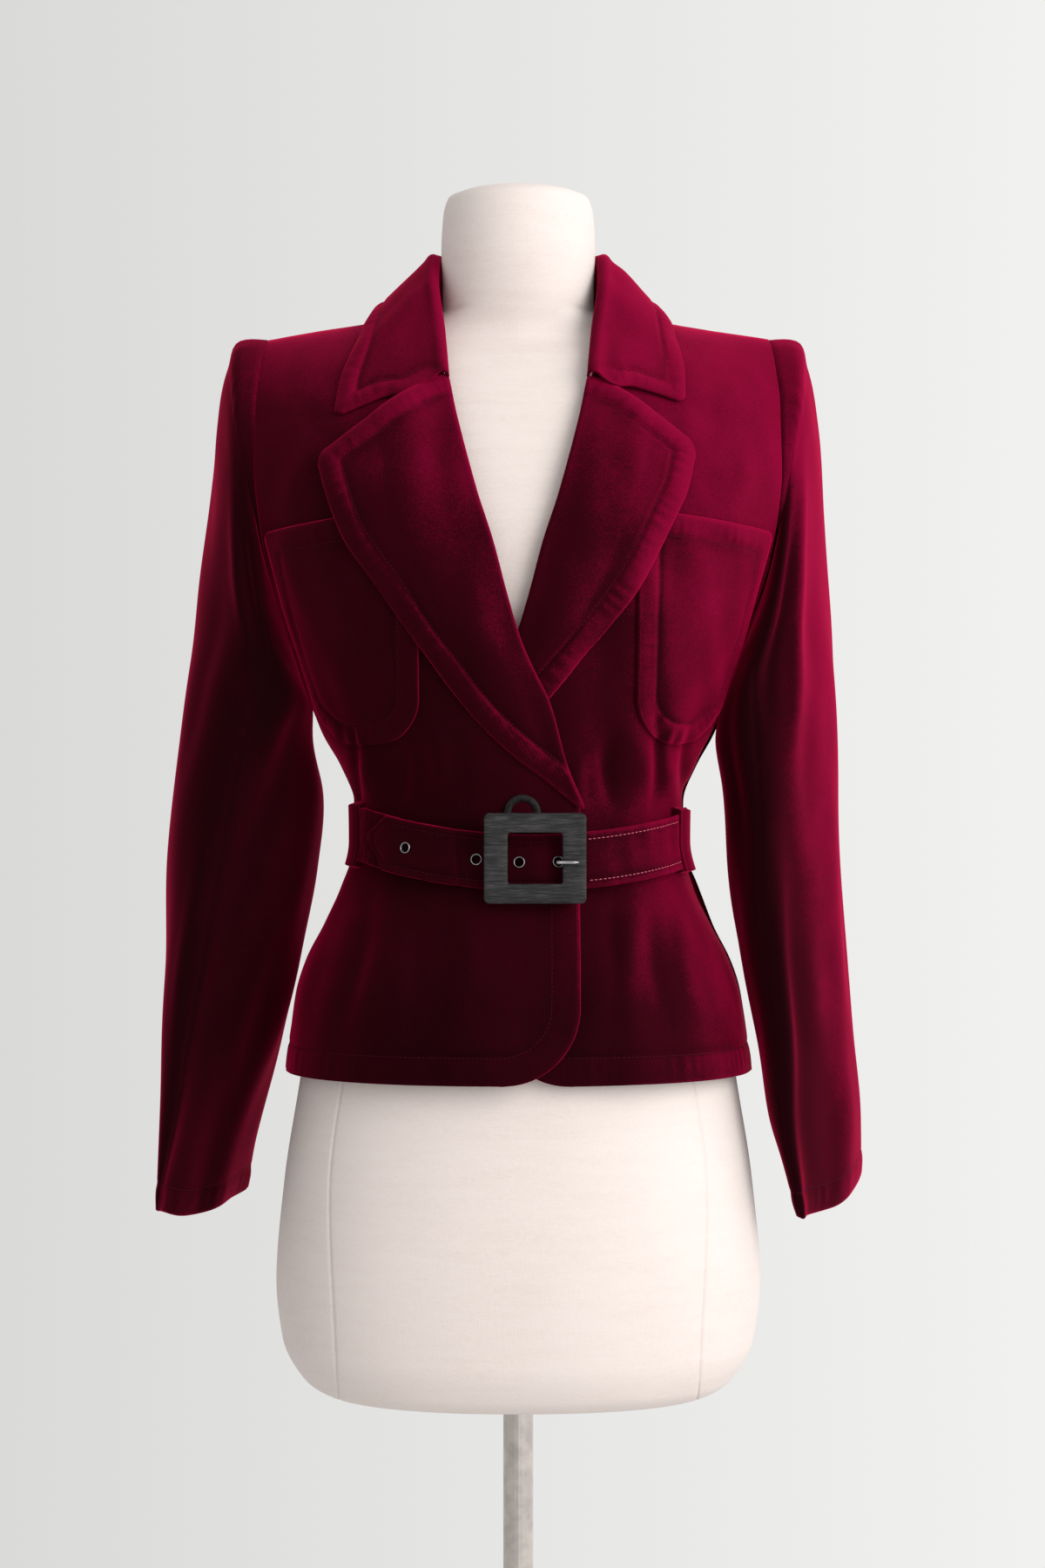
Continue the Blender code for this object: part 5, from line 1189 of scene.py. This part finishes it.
def build_belt(stitches, rose_stitches, finish):
    """One strip from its inner end under the buckle, round the back, to the tip over that end."""
    first = float(belt_turn(BELT_INNER_END_X))
    last = float(belt_turn(BELT_TIP_X)) - 4
    along = np.linspace(first, last, BELT_ROWS)[:, None]
    share = np.linspace(-1, 1, BELT_COLUMNS)[None, :]
    tip_left = np.where(along < -3.2, plain_point(along + 4, BELT_LEVEL_SIDE)[..., 0] - BELT_TIP_X, 1.0)
    half = BELT_HEIGHT / 2 * (0.15 + 0.85 * np.clip(tip_left / BELT_TIP_POINT, 0.0, 1.0))
    height = half * share
    base = belt_point(along, height, 0.0)
    steps = np.linalg.norm(np.diff(base[:, BELT_MIDDLE_COLUMN], axis=0), axis=1)
    length = np.concatenate([[0.0], np.cumsum(steps)])[:, None]
    edge = np.minimum(half - np.abs(height), np.maximum(tip_left, 0.0))
    puff = 0.0006 * np.sin(math.pi / 2 * np.clip((edge - BELT_BAND) / 0.008, 0.0, 1.0))
    groove = -0.0004 * bell(edge - BELT_BAND, 0.0009)
    near = bell(edge - BELT_BAND, 0.003)
    ripple = 0.00030 * soft_field(base, 0.022, 91) + 0.00018 * uneven(length, 0.007, 4.0) * near
    crease_x = base[..., 0] + 0.0415 + 0.10 * (height - 0.004)
    crease = np.where(along < -3, -0.0009 * bell(crease_x, 0.0016), 0.0)
    outer = belt_point(along, height, BELT_WALL + puff + groove + ripple + crease)
    inner = base
    normal = unit(outer - inner)
    for side in (-1, 1):
        column = BELT_MIDDLE_COLUMN + side * BELT_STITCH_COLUMN
        run = (tip_left[:, 0] > 0.016) & (length[:, 0] > 0.004)
        rose = (along[:, 0] < -0.9) & ((along[:, 0] > -3) | (base[:, BELT_MIDDLE_COLUMN, 0] > 0.044))
        seams = ((rose_stitches, run & rose, ROSE_STITCH_RADIUS), (stitches, run & ~rose, BELT_STITCH_RADIUS))
        for thread, rows, radius in seams:
            thread.sew(outer[rows, column], normal[rows, column], BELT_STITCH_PITCH, radius)
    nap_and_painted_light = nap_and_painted_light_field(outer, edge, BELT_BAND)
    made = add_shell("jacket_belt", outer, inner, finish, nap_and_painted_light)
    cut_eyelet_holes(made, along, outer.shape)
    return made


def cut_eyelet_holes(belt, along, shape):
    """Opens the outer layer under each eyelet's bore."""
    rows, columns = shape[:2]
    front = int(np.argmax(along[:, 0] < -3))
    tidy = bmesh.new()
    tidy.from_mesh(belt.data)
    tidy.verts.ensure_lookup_table()
    holes = [strap_outside(x) for x in EYELET_X]
    doomed = []
    for face in tidy.faces:
        middle = face.calc_center_median()
        row = min(vertex.index % (rows * columns) for vertex in face.verts) // columns
        if face.verts[0].index >= 2 * rows * columns or row < front:
            continue
        if any(math.hypot(middle.x - hole[0], middle.z - hole[2]) < EYELET_BORE + 0.0008 for hole in holes):
            doomed.append(face)
    bmesh.ops.delete(tidy, geom=doomed, context="FACES")
    tidy.to_mesh(belt.data)
    tidy.free()


def strap_outside(x, height=0.0):
    """The outside of the belt's outer layer at the front."""
    return belt_point(float(belt_turn(x)) - 4, height, BELT_WALL)


def strap_normal(x):
    step = 0.006
    along = strap_outside(x + step) - strap_outside(x - step)
    return unit(np.cross(along, strap_outside(x, step) - strap_outside(x, -step)))


def build_loop(name, side, x, finish):
    """A narrow carrier that stands over the belt and comes down to the jacket at both ends."""
    middle_turn = float(belt_turn(x))
    middle = float(belt_middle(middle_turn))
    under = middle_turn if side < 0 else middle_turn - 4
    rise = float(belt_lift(under)) + BELT_WALL + LOOP_CLEARANCE - LOOP_END_LIFT
    share = np.linspace(-1, 1, 60)[:, None]
    edge = np.linspace(-0.5, 0.5, 11)[None, :]
    level = middle + share * (BELT_HEIGHT / 2 + LOOP_REACH) + 0 * edge
    turn = side * turn_at(abs(x) + edge * LOOP_WIDTH, BELT_LEVEL_SIDE) + 0 * share
    lift = LOOP_END_LIFT + rise * smooth_step(1.0, 0.90, np.abs(share)) + 0 * edge
    crown = 0.0005 * np.cos(math.pi * edge) - 0.0002 * bell(np.abs(edge) - 0.30, 0.07)
    outer = level_point(turn, level, lift + LOOP_WALL + crown)
    inner = level_point(turn, level, lift)
    distance = LOOP_WIDTH * (0.5 - np.abs(edge)) + 0 * share
    return add_shell(name, outer, inner, finish, nap_and_painted_light_field(outer, distance, 0.0015))


def button_back_y():
    x = np.array([[BUTTON_X - BUTTON_RADIUS, BUTTON_X, BUTTON_X + BUTTON_RADIUS]])
    level = np.array([[BUTTON_LEVEL - BUTTON_RADIUS], [BUTTON_LEVEL], [BUTTON_LEVEL + BUTTON_RADIUS]])
    turn = turn_at(x, level)
    face = plain_point(turn, level) + outward(turn, level) * OVERLAP_RISE
    return float(face[..., 1].min()) - SEAM_GAP


def lathe(profile, centre, axis, sides, closed=False):
    """Points and faces of a turned body: profile rows are (distance along the axis, radius)."""
    axis = Vector(axis).normalized()
    across = axis.orthogonal().normalized()
    third = axis.cross(across)
    points, faces = [], []
    count = len(profile)
    for side in range(sides):
        angle = 2 * math.pi * side / sides
        spoke = across * math.cos(angle) + third * math.sin(angle)
        for along, radius in profile:
            points.append(Vector(centre) + axis * along + spoke * radius)
    spans = count if closed else count - 1
    for side in range(sides):
        other = (side + 1) % sides
        for corner in range(spans):
            after = (corner + 1) % count
            here, there = side * count, other * count
            faces.append([here + corner, here + after, there + after, there + corner])
    if not closed:
        faces.append([side * count for side in range(sides - 1, -1, -1)])
        faces.append([side * count + count - 1 for side in range(sides)])
    return np.array([tuple(point) for point in points]), faces


def add_turned(name, profile, centre, axis, sides, finish, closed=False):
    points, faces = lathe(profile, centre, axis, sides, closed)
    made = add_mesh(name, points, faces, finish, np.full(len(points), 0.45))
    face_outwards(made)
    return made


def face_outwards(made):
    tidy = bmesh.new()
    tidy.from_mesh(made.data)
    bmesh.ops.recalc_face_normals(tidy, faces=tidy.faces[:])
    tidy.to_mesh(made.data)
    tidy.free()


def build_button(rim_finish, velvet_finish):
    """A covered button: a black rim round a soft velvet middle."""
    centre = (BUTTON_X, button_back_y(), BUTTON_LEVEL)
    rim = []
    for step in range(24):
        angle = 2 * math.pi * step / 24
        along = BUTTON_WALL * (0.5 - 0.5 * math.cos(angle))
        rim.append((along, BUTTON_RADIUS * (0.80 + 0.20 * math.sin(angle))))
    ring = add_turned("button_rim", rim, centre, (0, -1, 0), 72, rim_finish, closed=True)
    dome = [(BUTTON_WALL * 0.10, BUTTON_RADIUS * 0.62)]
    for step in range(10):
        part = step / 9
        rise = BUTTON_WALL * (0.55 + 0.35 * math.sin(part * math.pi / 2))
        dome.append((rise, BUTTON_RADIUS * 0.66 * (1 - part) + 0.0001))
    middle = add_turned("button_velvet", dome, centre, (0, -1, 0), 48, velvet_finish)
    return ring, middle


def build_eyelets(finish):
    """Rolled rings on the belt's outside, each with a barrel through it."""
    made = []
    middle = (EYELET_RADIUS + EYELET_BORE) / 2
    half = (EYELET_RADIUS - EYELET_BORE) / 2
    profile = []
    for step in range(16):
        angle = math.pi * step / 15
        profile.append((0.0004 + 0.0009 * math.sin(angle), middle + half * math.cos(angle)))
    profile += [(-BELT_WALL, EYELET_BORE), (-BELT_WALL, EYELET_BORE + 0.0004), (0.0003, EYELET_BORE + 0.0005)]
    for number, x in enumerate(EYELET_X, 1):
        name = "eyelet_ring_%d" % number
        place_of, normal = tuple(strap_outside(x)), tuple(strap_normal(x))
        made.append(add_turned(name, profile, place_of, normal, 48, finish, closed=True))
    return made


def rounded_rectangle(width, height, radius, corner_steps=7, side_steps=14):
    """Points round a rectangle with rounded corners, from the right side's lower end."""
    points = []
    for quarter, (sign_x, sign_z) in enumerate(((1, 1), (-1, 1), (-1, -1), (1, -1))):
        middle = (sign_x * (width / 2 - radius), sign_z * (height / 2 - radius))
        for step in range(corner_steps + 1):
            angle = math.pi / 2 * (quarter + step / corner_steps)
            points.append((middle[0] + radius * math.cos(angle), middle[1] + radius * math.sin(angle)))
        length = (height if quarter % 2 else width) - 2 * radius
        way = ((-1, 0), (0, -1), (1, 0), (0, 1))[quarter]
        start = points[-1]
        for step in range(1, side_steps):
            reach = length * step / side_steps
            points.append((start[0] + way[0] * reach, start[1] + way[1] * reach))
    return np.array(points)


def buckle_back():
    """The frame's rear plane just clears the strap, the button and the fronts behind it."""
    x = BUCKLE_X + BUCKLE_WIDTH / 2 * np.arange(-8, 9) / 8
    furthest = button_back_y() - BUTTON_WALL
    for edge in (-0.5, 0.5):
        strap = belt_point(belt_turn(x) - 4, edge * BELT_HEIGHT, BELT_WALL)
        furthest = min(furthest, float(strap[..., 1].min()))
        level = np.full(x.shape, BUCKLE_LEVEL + edge * BUCKLE_HEIGHT)
        lift = front_lift(-1, np.minimum(x, FRONT_LAP_RIGHT))
        face = plain_point(turn_at(x, level), level) + outward(turn_at(x, level), level) * lift[:, None]
        furthest = min(furthest, float(face[:, 1].min()))
    return furthest - 2 * SEAM_GAP


def build_buckle(finish):
    """A flat wooden frame with softened edges round an open window."""
    back = buckle_back()
    soft = BUCKLE_SOFT_EDGE
    edge = ((soft, 0.0), (soft * 0.3, soft * 0.3), (0.0, soft))

    def outside(inset):
        width, height = BUCKLE_WIDTH - 2 * inset, BUCKLE_HEIGHT - 2 * inset
        return rounded_rectangle(width, height, BUCKLE_CORNER - inset)

    def inside(grow):
        width, height = BUCKLE_WINDOW_WIDTH + 2 * grow, BUCKLE_WINDOW_HEIGHT + 2 * grow
        return rounded_rectangle(width, height, BUCKLE_WINDOW_CORNER + grow)

    rings = [(outside(inset), rise) for inset, rise in edge]
    rings += [(outside(inset), BUCKLE_WALL - rise) for inset, rise in edge[::-1]]
    for share in (0.2, 0.4, 0.6, 0.8):
        rings.append((outside(soft) * (1 - share) + inside(soft) * share, BUCKLE_WALL))
    rings += [(inside(grow), BUCKLE_WALL - rise) for grow, rise in edge]
    rings += [(inside(grow), rise) for grow, rise in edge[::-1]]
    grid = []
    for flat, rise in rings:
        depth = np.full(len(flat), back - rise)
        grid.append(np.stack([BUCKLE_X + flat[:, 0], depth, BUCKLE_LEVEL + flat[:, 1]], axis=-1))
    grid = np.stack(grid)
    rows, columns = grid.shape[:2]
    index = np.arange(rows * columns).reshape(rows, columns)
    index = np.concatenate([index, index[:1]], axis=0)
    made = add_mesh("buckle_frame", grid.reshape(-1, 3), grid_quads(index, True).tolist(), finish)
    face_outwards(made)
    return made


def build_prong(finish):
    """A bent metal tongue from the last eyelet, lying on the frame's left side."""
    place = strap_outside(EYELET_X[-1])
    rest = buckle_back() - BUCKLE_WALL - PRONG_RADIUS - SEAM_GAP
    inner_side = BUCKLE_X + BUCKLE_WINDOW_WIDTH / 2
    corners = np.array(
        [
            (place[0], place[1] + 0.0012, place[2]),
            (place[0], place[1] - 0.0012, place[2]),
            (place[0] + 0.0012, (place[1] + rest) / 2, place[2]),
            (inner_side - 0.0030, rest - 0.0002, place[2]),
            (inner_side + 0.0005, rest, place[2]),
            (inner_side + 0.0110, rest, place[2]),
        ]
    )
    rows, _ = through(corners[:, None, :], 40)
    path = rows[:, 0]
    way = unit(np.gradient(path, axis=0))
    across = np.tile(np.array([0.0, 0.0, 1.0]), (len(path), 1))
    third = np.cross(way, across)
    angle = np.linspace(0, 2 * math.pi, 18, endpoint=False)
    taper = PRONG_RADIUS * np.minimum(1.0, 0.35 + np.linspace(0, 6, len(path))[::-1])
    ring = across[:, None] * np.cos(angle)[:, None] + third[:, None] * np.sin(angle)[:, None]
    grid = path[:, None, :] + ring * taper[:, None, None]
    index = np.arange(grid.shape[0] * len(angle)).reshape(grid.shape[:2])
    faces = grid_quads(index, True).tolist() + [index[0].tolist(), index[-1].tolist()]
    made = add_mesh("buckle_tongue", grid.reshape(-1, 3), faces, finish)
    face_outwards(made)
    return made


def build_form(finish):
    """The padded torso under a sewn linen cover, with princess, side and neck seams."""
    at = {field: curve(FORM, field) for field in Section._fields[1:]}
    low = np.linspace(FORM[0].level, 0.70, 36)
    high = np.linspace(0.70, FORM[-1].level, 190)[1:]
    level = np.concatenate([low, high])[:, None]
    power = 2 / at["squareness"](level)
    princess = 0.123 - 0.020 * smooth_step(0.80, 1.04, level)
    princess = princess + 0.006 * bell(level - 0.80, 0.08)
    seam = np.arcsin(np.clip(princess / at["half_width"](level), 0.0, 0.98) ** (1 / power))
    seam = np.where(level < 1.25, seam, 0.9)
    close = np.array([-0.030, -0.015, -0.007, 0.0, 0.007, 0.015, 0.030])
    steps = np.concatenate([part + np.append(close, np.linspace(0.06, 0.94, 17)) for part in range(8)])
    steps = np.sort(steps % 8)[None, :]
    turn, part = np.floor(steps / 2).astype(int), steps % 2
    part = np.where(turn % 2 == 0, part, 2 - part)
    quarter = np.where(part < 1, part * seam, seam + (part - 1) * (math.pi / 2 - seam))
    angle = np.where(turn % 2 == 0, turn * math.pi / 2 + quarter, (turn + 1) * math.pi / 2 - quarter)
    sine, cosine = np.sin(angle), np.cos(angle)
    depth = np.where(cosine > 0, at["front"](level), at["back"](level))
    x = at["half_width"](level) * np.sign(sine) * np.abs(sine) ** power
    y = at["middle"](level) - depth * np.sign(cosine) * np.abs(cosine) ** power
    grid = np.stack([x, y, level + 0 * x], axis=-1)
    normal = grid_normals(grid, ring=True)
    sunk = np.zeros(x.shape)
    sunk += bell(part - 1, FORM_SEAM_SHARE) * smooth_step(1.25, 1.10, level)
    sunk += bell(part - 2, FORM_SEAM_SHARE) * (level < 1.34)
    sunk += bell(level - 1.413 + 0.16 * y, 0.0009)
    grid = grid - normal * (FORM_SEAM_DEPTH * np.clip(sunk, 0.0, 1.0))[..., None]
    rows, columns = grid.shape[:2]
    index = np.arange(rows * columns).reshape(rows, columns)
    faces = grid_quads(index, True).tolist()
    points = grid.reshape(-1, 3)
    tip = np.array([[0.0, FORM[0].middle, FORM[0].level], [0.0, FORM[-1].middle, FORM[-1].level]])
    count = len(points)
    for column in range(columns):
        after = (column + 1) % columns
        faces.append([int(index[0, after]), int(index[0, column]), count])
        faces.append([int(index[-1, column]), int(index[-1, after]), count + 1])
    shade = np.append(np.clip(sunk, 0.0, 1.0).reshape(-1), [0.0, 0.0])
    made = add_mesh("form_cover", np.concatenate([points, tip]), faces, finish, shade)
    face_outwards(made)
    return made


def new_material(name, roughness, metallic=0.0):
    made = bpy.data.materials.new(name)
    made.use_nodes = True
    tree = made.node_tree
    shader = tree.nodes["Principled BSDF"]
    shader.inputs["Roughness"].default_value = roughness
    shader.inputs["Metallic"].default_value = metallic
    return made, tree, shader


def add_node(tree, kind, inputs=(), **settings):
    made = tree.nodes.new(kind)
    for name, value in settings.items():
        setattr(made, name, value)
    for name, value in dict(inputs).items():
        socket = made.inputs[name]
        if isinstance(value, bpy.types.NodeSocket):
            tree.links.new(value, socket)
        else:
            socket.default_value = value
    return made


def object_place(tree):
    return add_node(tree, "ShaderNodeTexCoord").outputs["Object"]


def noise(tree, place, scale, detail=2.0, roughness=0.5):
    settings = {"Vector": place, "Scale": scale, "Detail": detail, "Roughness": roughness}
    return add_node(tree, "ShaderNodeTexNoise", settings).outputs["Fac"]


def combine(tree, operation, first, second):
    made = add_node(tree, "ShaderNodeMath", {0: first, 1: second}, operation=operation)
    return made.outputs[0]


def ramp(tree, value, stops):
    made = add_node(tree, "ShaderNodeValToRGB", {"Fac": value})
    while len(made.color_ramp.elements) < len(stops):
        made.color_ramp.elements.new(0.5)
    for element, (position, colour) in zip(made.color_ramp.elements, stops):
        element.position = position
        element.color = (*colour, 1.0)
    return made.outputs["Color"]


def weighted(tree, *parts):
    """The sum of some values, each times its share."""
    total = None
    for value, share in parts:
        part = combine(tree, "MULTIPLY", value, share)
        total = part if total is None else combine(tree, "ADD", total, part)
    return total


def stretch(tree, place, scale):
    return add_node(tree, "ShaderNodeMapping", {"Vector": place, "Scale": scale}).outputs["Vector"]


def nap_and_painted_light_value(tree):
    return add_node(tree, "ShaderNodeAttribute", attribute_name="nap_and_painted_light").outputs["Fac"]


def colour_by(tree, shader, value, stops):
    tree.links.new(ramp(tree, value, stops), shader.inputs["Base Color"])


def roughness_by(tree, shader, value, low, high):
    settings = {"Value": value, "To Min": low, "To Max": high}
    rough = add_node(tree, "ShaderNodeMapRange", settings).outputs["Result"]
    tree.links.new(rough, shader.inputs["Roughness"])


def bump(tree, shader, height, strength, distance):
    made = add_node(tree, "ShaderNodeBump", {"Height": height, "Strength": strength, "Distance": distance})
    tree.links.new(made.outputs["Normal"], shader.inputs["Normal"])


def velvet_material():
    """Deep wine pile: dark where it faces the eye, bright at grazing angles, brushed unevenly, with painted
    light and shade from the mesh attribute.
    """
    made, tree, shader = new_material("wine_velvet", 0.85)
    place = object_place(tree)
    # The mesh attribute brings random pile tone and painted light and shade
    nap_and_painted_light = nap_and_painted_light_value(tree)
    broad = noise(tree, place, 11.0, 3.0, 0.55)
    patchy = noise(tree, place, 70.0, 3.0, 0.6)
    pile = noise(tree, place, 1300.0, 2.0, 0.6)
    value = weighted(tree, (nap_and_painted_light, 0.70), (broad, 0.04), (patchy, 0.05), (pile, 0.26))
    stops = (
        (0.32, (0.006, 0.0001, 0.0009)),
        (0.52, (0.026, 0.0001, 0.0034)),
        (0.71, (0.190, 0.0007, 0.0250)),
    )
    colour_by(tree, shader, value, stops)
    shader.inputs["Specular IOR Level"].default_value = 0.03
    shader.inputs["Sheen Weight"].default_value = 0.70
    shader.inputs["Sheen Roughness"].default_value = 0.42
    shader.inputs["Sheen Tint"].default_value = (1.0, 0.01, 0.11, 1.0)
    bump(tree, shader, combine(tree, "ADD", pile, combine(tree, "MULTIPLY", patchy, 0.6)), 0.22, 0.0006)
    return made


def thread_material(name, colour):
    made, tree, shader = new_material(name, 0.6)
    twist = noise(tree, object_place(tree), 2400.0, 1.0)
    light = tuple(min(channel * 1.6, 1.0) for channel in colour)
    colour_by(tree, shader, twist, ((0.3, colour), (0.7, light)))
    shader.inputs["Specular IOR Level"].default_value = 0.1
    bump(tree, shader, twist, 0.3, 0.0002)
    return made


def wood_material():
    """Black stained wood with a fine open grain that runs across the buckle."""
    made, tree, shader = new_material("black_wood", 0.5)
    shader.inputs["Specular IOR Level"].default_value = 0.22
    place = object_place(tree)
    grain = noise(tree, stretch(tree, place, (0.08, 0.4, 1.0)), 900.0, 4.0, 0.65)
    cloud = noise(tree, place, 60.0, 2.0)
    value = weighted(tree, (grain, 0.8), (cloud, 0.2))
    stops = ((0.36, (0.007, 0.0065, 0.007)), (0.50, (0.022, 0.021, 0.022)), (0.64, (0.050, 0.047, 0.049)))
    colour_by(tree, shader, value, stops)
    roughness_by(tree, shader, grain, 0.5, 0.75)
    bump(tree, shader, grain, 0.35, 0.0004)
    return made


def metal_material(name, colour, roughness, streak):
    made, tree, shader = new_material(name, roughness, 1.0)
    place = object_place(tree)
    brushed = noise(tree, stretch(tree, place, streak), 700.0, 3.0, 0.6)
    worn = noise(tree, place, 90.0, 3.0)
    dull = tuple(channel * 0.78 for channel in colour)
    colour_by(tree, shader, worn, ((0.35, dull), (0.65, colour)))
    roughness_by(tree, shader, brushed, roughness * 0.75, roughness * 1.35)
    bump(tree, shader, brushed, 0.06, 0.0002)
    return made


def rim_material():
    made, tree, shader = new_material("black_button_rim", 0.55)
    shader.inputs["Specular IOR Level"].default_value = 0.15
    speck = noise(tree, object_place(tree), 400.0, 3.0)
    colour_by(tree, shader, speck, ((0.3, (0.006, 0.005, 0.006)), (0.75, (0.018, 0.016, 0.017))))
    bump(tree, shader, speck, 0.12, 0.0002)
    return made


def linen_material():
    """Cream linen: a fine plain weave with slubs and soft soiling."""
    made, tree, shader = new_material("cream_linen", 0.92)
    place = object_place(tree)
    across = stretch(tree, place, (0.12, 0.12, 1.0))
    upright = stretch(tree, place, (1.0, 1.0, 0.12))
    weft = noise(tree, across, 1500.0, 2.0, 0.5)
    warp = noise(tree, upright, 1500.0, 2.0, 0.5)
    slub = noise(tree, across, 160.0, 3.0, 0.6)
    cloud = noise(tree, place, 7.0, 3.0)
    weave = combine(tree, "ADD", weft, warp)
    value = weighted(tree, (weave, 0.22), (slub, 0.2), (cloud, 0.36))
    # Darker along the form's sunk seams: painted shade in the seam grooves
    value = combine(tree, "SUBTRACT", value, combine(tree, "MULTIPLY", nap_and_painted_light_value(tree), 0.16))
    stops = (
        (0.20, (0.50, 0.40, 0.35)),
        (0.30, (0.69, 0.60, 0.565)),
        (0.50, (0.77, 0.685, 0.65)),
        (0.70, (0.81, 0.735, 0.705)),
    )
    colour_by(tree, shader, value, stops)
    shader.inputs["Specular IOR Level"].default_value = 0.2
    shader.inputs["Sheen Weight"].default_value = 0.15
    bump(tree, shader, weave, 0.28, 0.0004)
    return made


def plain_material(name, colour, roughness):
    made, tree, shader = new_material(name, roughness)
    mottled = noise(tree, object_place(tree), 3.0, 4.0)
    low = tuple(channel * 0.985 for channel in colour)
    colour_by(tree, shader, mottled, ((0.35, low), (0.65, colour)))
    return made


def add_stage():
    """A round pale floor under the stand."""
    turns = [step * math.pi / (FLOOR_CORNERS / 2) for step in range(FLOOR_CORNERS)]
    rim = [(FLOOR_RADIUS * math.cos(turn), FLOOR_RADIUS * math.sin(turn), 0.0) for turn in turns]
    finish = plain_material("pale_floor", (0.72, 0.71, 0.70), 0.7)
    floor = add_mesh("floor", np.array(rim), [list(range(FLOOR_CORNERS))], finish)


def add_light(name, place, target, size, energy, colour):
    data = bpy.data.lights.new(name, "AREA")
    data.shape = "RECTANGLE"
    data.size, data.size_y = size
    data.energy = energy
    data.color = colour
    made = bpy.data.objects.new(name, data)
    made.location = place
    made.rotation_euler = (Vector(target) - Vector(place)).to_track_quat("-Z", "Y").to_euler()
    bpy.context.scene.collection.objects.link(made)


def add_lights():
    """Soft window light from the viewer's right in a pale room that is brighter on that side."""
    add_light("window", WINDOW_PLACE, WINDOW_TARGET, WINDOW_SIZE, WINDOW_POWER, (1.0, 0.985, 0.965))
    world = bpy.data.worlds.new("room")
    world.use_nodes = True
    tree = world.node_tree
    shade = tree.nodes["Background"]
    shade.inputs["Color"].default_value = (1.0, 0.998, 0.99, 1.0)
    way = add_node(tree, "ShaderNodeTexCoord").outputs["Generated"]
    across = add_node(tree, "ShaderNodeSeparateXYZ", {"Vector": way}).outputs["X"]
    range_of = {"Value": across, "From Min": -ROOM_SPREAD, "From Max": ROOM_SPREAD}
    range_of.update({"To Min": ROOM_DARK, "To Max": ROOM_LIGHT})
    tree.links.new(add_node(tree, "ShaderNodeMapRange", range_of).outputs["Result"], shade.inputs["Strength"])
    bpy.context.scene.world = world


def add_camera():
    data = bpy.data.cameras.new("camera")
    data.sensor_fit = "AUTO"
    data.sensor_width = CAMERA_SENSOR
    data.lens = CAMERA_LENS
    made = bpy.data.objects.new("camera", data)
    made.location = CAMERA_PLACE
    made.rotation_euler = (math.pi / 2, 0.0, 0.0)
    bpy.context.scene.collection.objects.link(made)
    bpy.context.scene.camera = made


def place(piece, slot, *nodes):
    """Fixes a piece to the object and hides the solids that it stands for. The slot argument is not used."""
    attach(piece, "root")
    if nodes:
        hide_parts(*nodes)
    return piece


def main():
    velvet = velvet_material()
    thread = thread_material("wine_thread", (0.045, 0.0008, 0.010))
    pale_thread = thread_material("rose_thread", (0.46, 0.10, 0.14))
    nickel = metal_material("worn_nickel", (0.40, 0.40, 0.41), 0.34, (1.0, 1.0, 1.0))
    stitches, belt_stitches = Stitches(), Stitches()
    for name, side in SIDES:
        place(build_front("jacket_front_" + name, side, stitches, velvet), "velvet", "front_" + name)
    place(build_back(stitches, velvet), "velvet", "back")
    for name, side in SIDES:
        sleeve = build_sleeve("jacket_sleeve_" + name, side, *SLEEVES[name], stitches, velvet)
        place(sleeve, "velvet", "sleeve_%s_top" % name, "sleeve_%s_under" % name)
    place(build_collar(stitches, velvet), "velvet", "collar")
    for name, side in SIDES:
        lapel = build_lapel("jacket_lapel_" + name, side, LAPELS[name], stitches, velvet)
        place(lapel, "velvet", "lapel_" + name)
    for name, side in SIDES:
        pocket = build_pocket("jacket_pocket_" + name, side, POCKETS[name], stitches, velvet)
        place(pocket, "velvet", "pocket_" + name)
    place(build_belt(stitches, belt_stitches, velvet), "velvet", "belt")
    for name, side in SIDES:
        place(build_loop("loop_" + name, side, LOOP_X[name], velvet), "velvet", "belt_loop_" + name)
    place(stitches.finish("topstitching", thread), "velvet")
    belt_seams = place(belt_stitches.finish("belt_stitching", pale_thread), "velvet")
    rim, middle = build_button(rim_material(), velvet)
    place(rim, "button", "button")
    place(middle, "velvet")
    for number, eyelet in enumerate(build_eyelets(nickel), 1):
        place(eyelet, "nickel", "eyelet_%d" % number)
    place(build_buckle(wood_material()), "buckle", "buckle")
    place(build_prong(nickel), "nickel", "buckle_prong")
    place(build_form(linen_material()), "linen", "form_torso")
    # The pole's steel is tinted warm: a painted reflection of a wooden floor
    steel_with_painted_reflection = metal_material("polished_steel", (0.66, 0.60, 0.56), 0.14, (1.0, 1.0, 0.03))
    satin = metal_material("satin_steel", (0.48, 0.47, 0.46), 0.34, (1.0, 1.0, 1.0))
    for node, finish in (("stand_pole", steel_with_painted_reflection), ("stand_base", satin)):
        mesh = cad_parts[node].data
        mesh.materials.clear()
        mesh.materials.append(finish)
    add_stage()
    add_lights()
    add_camera()
    bpy.context.scene.view_settings.view_transform = "Standard"


main()
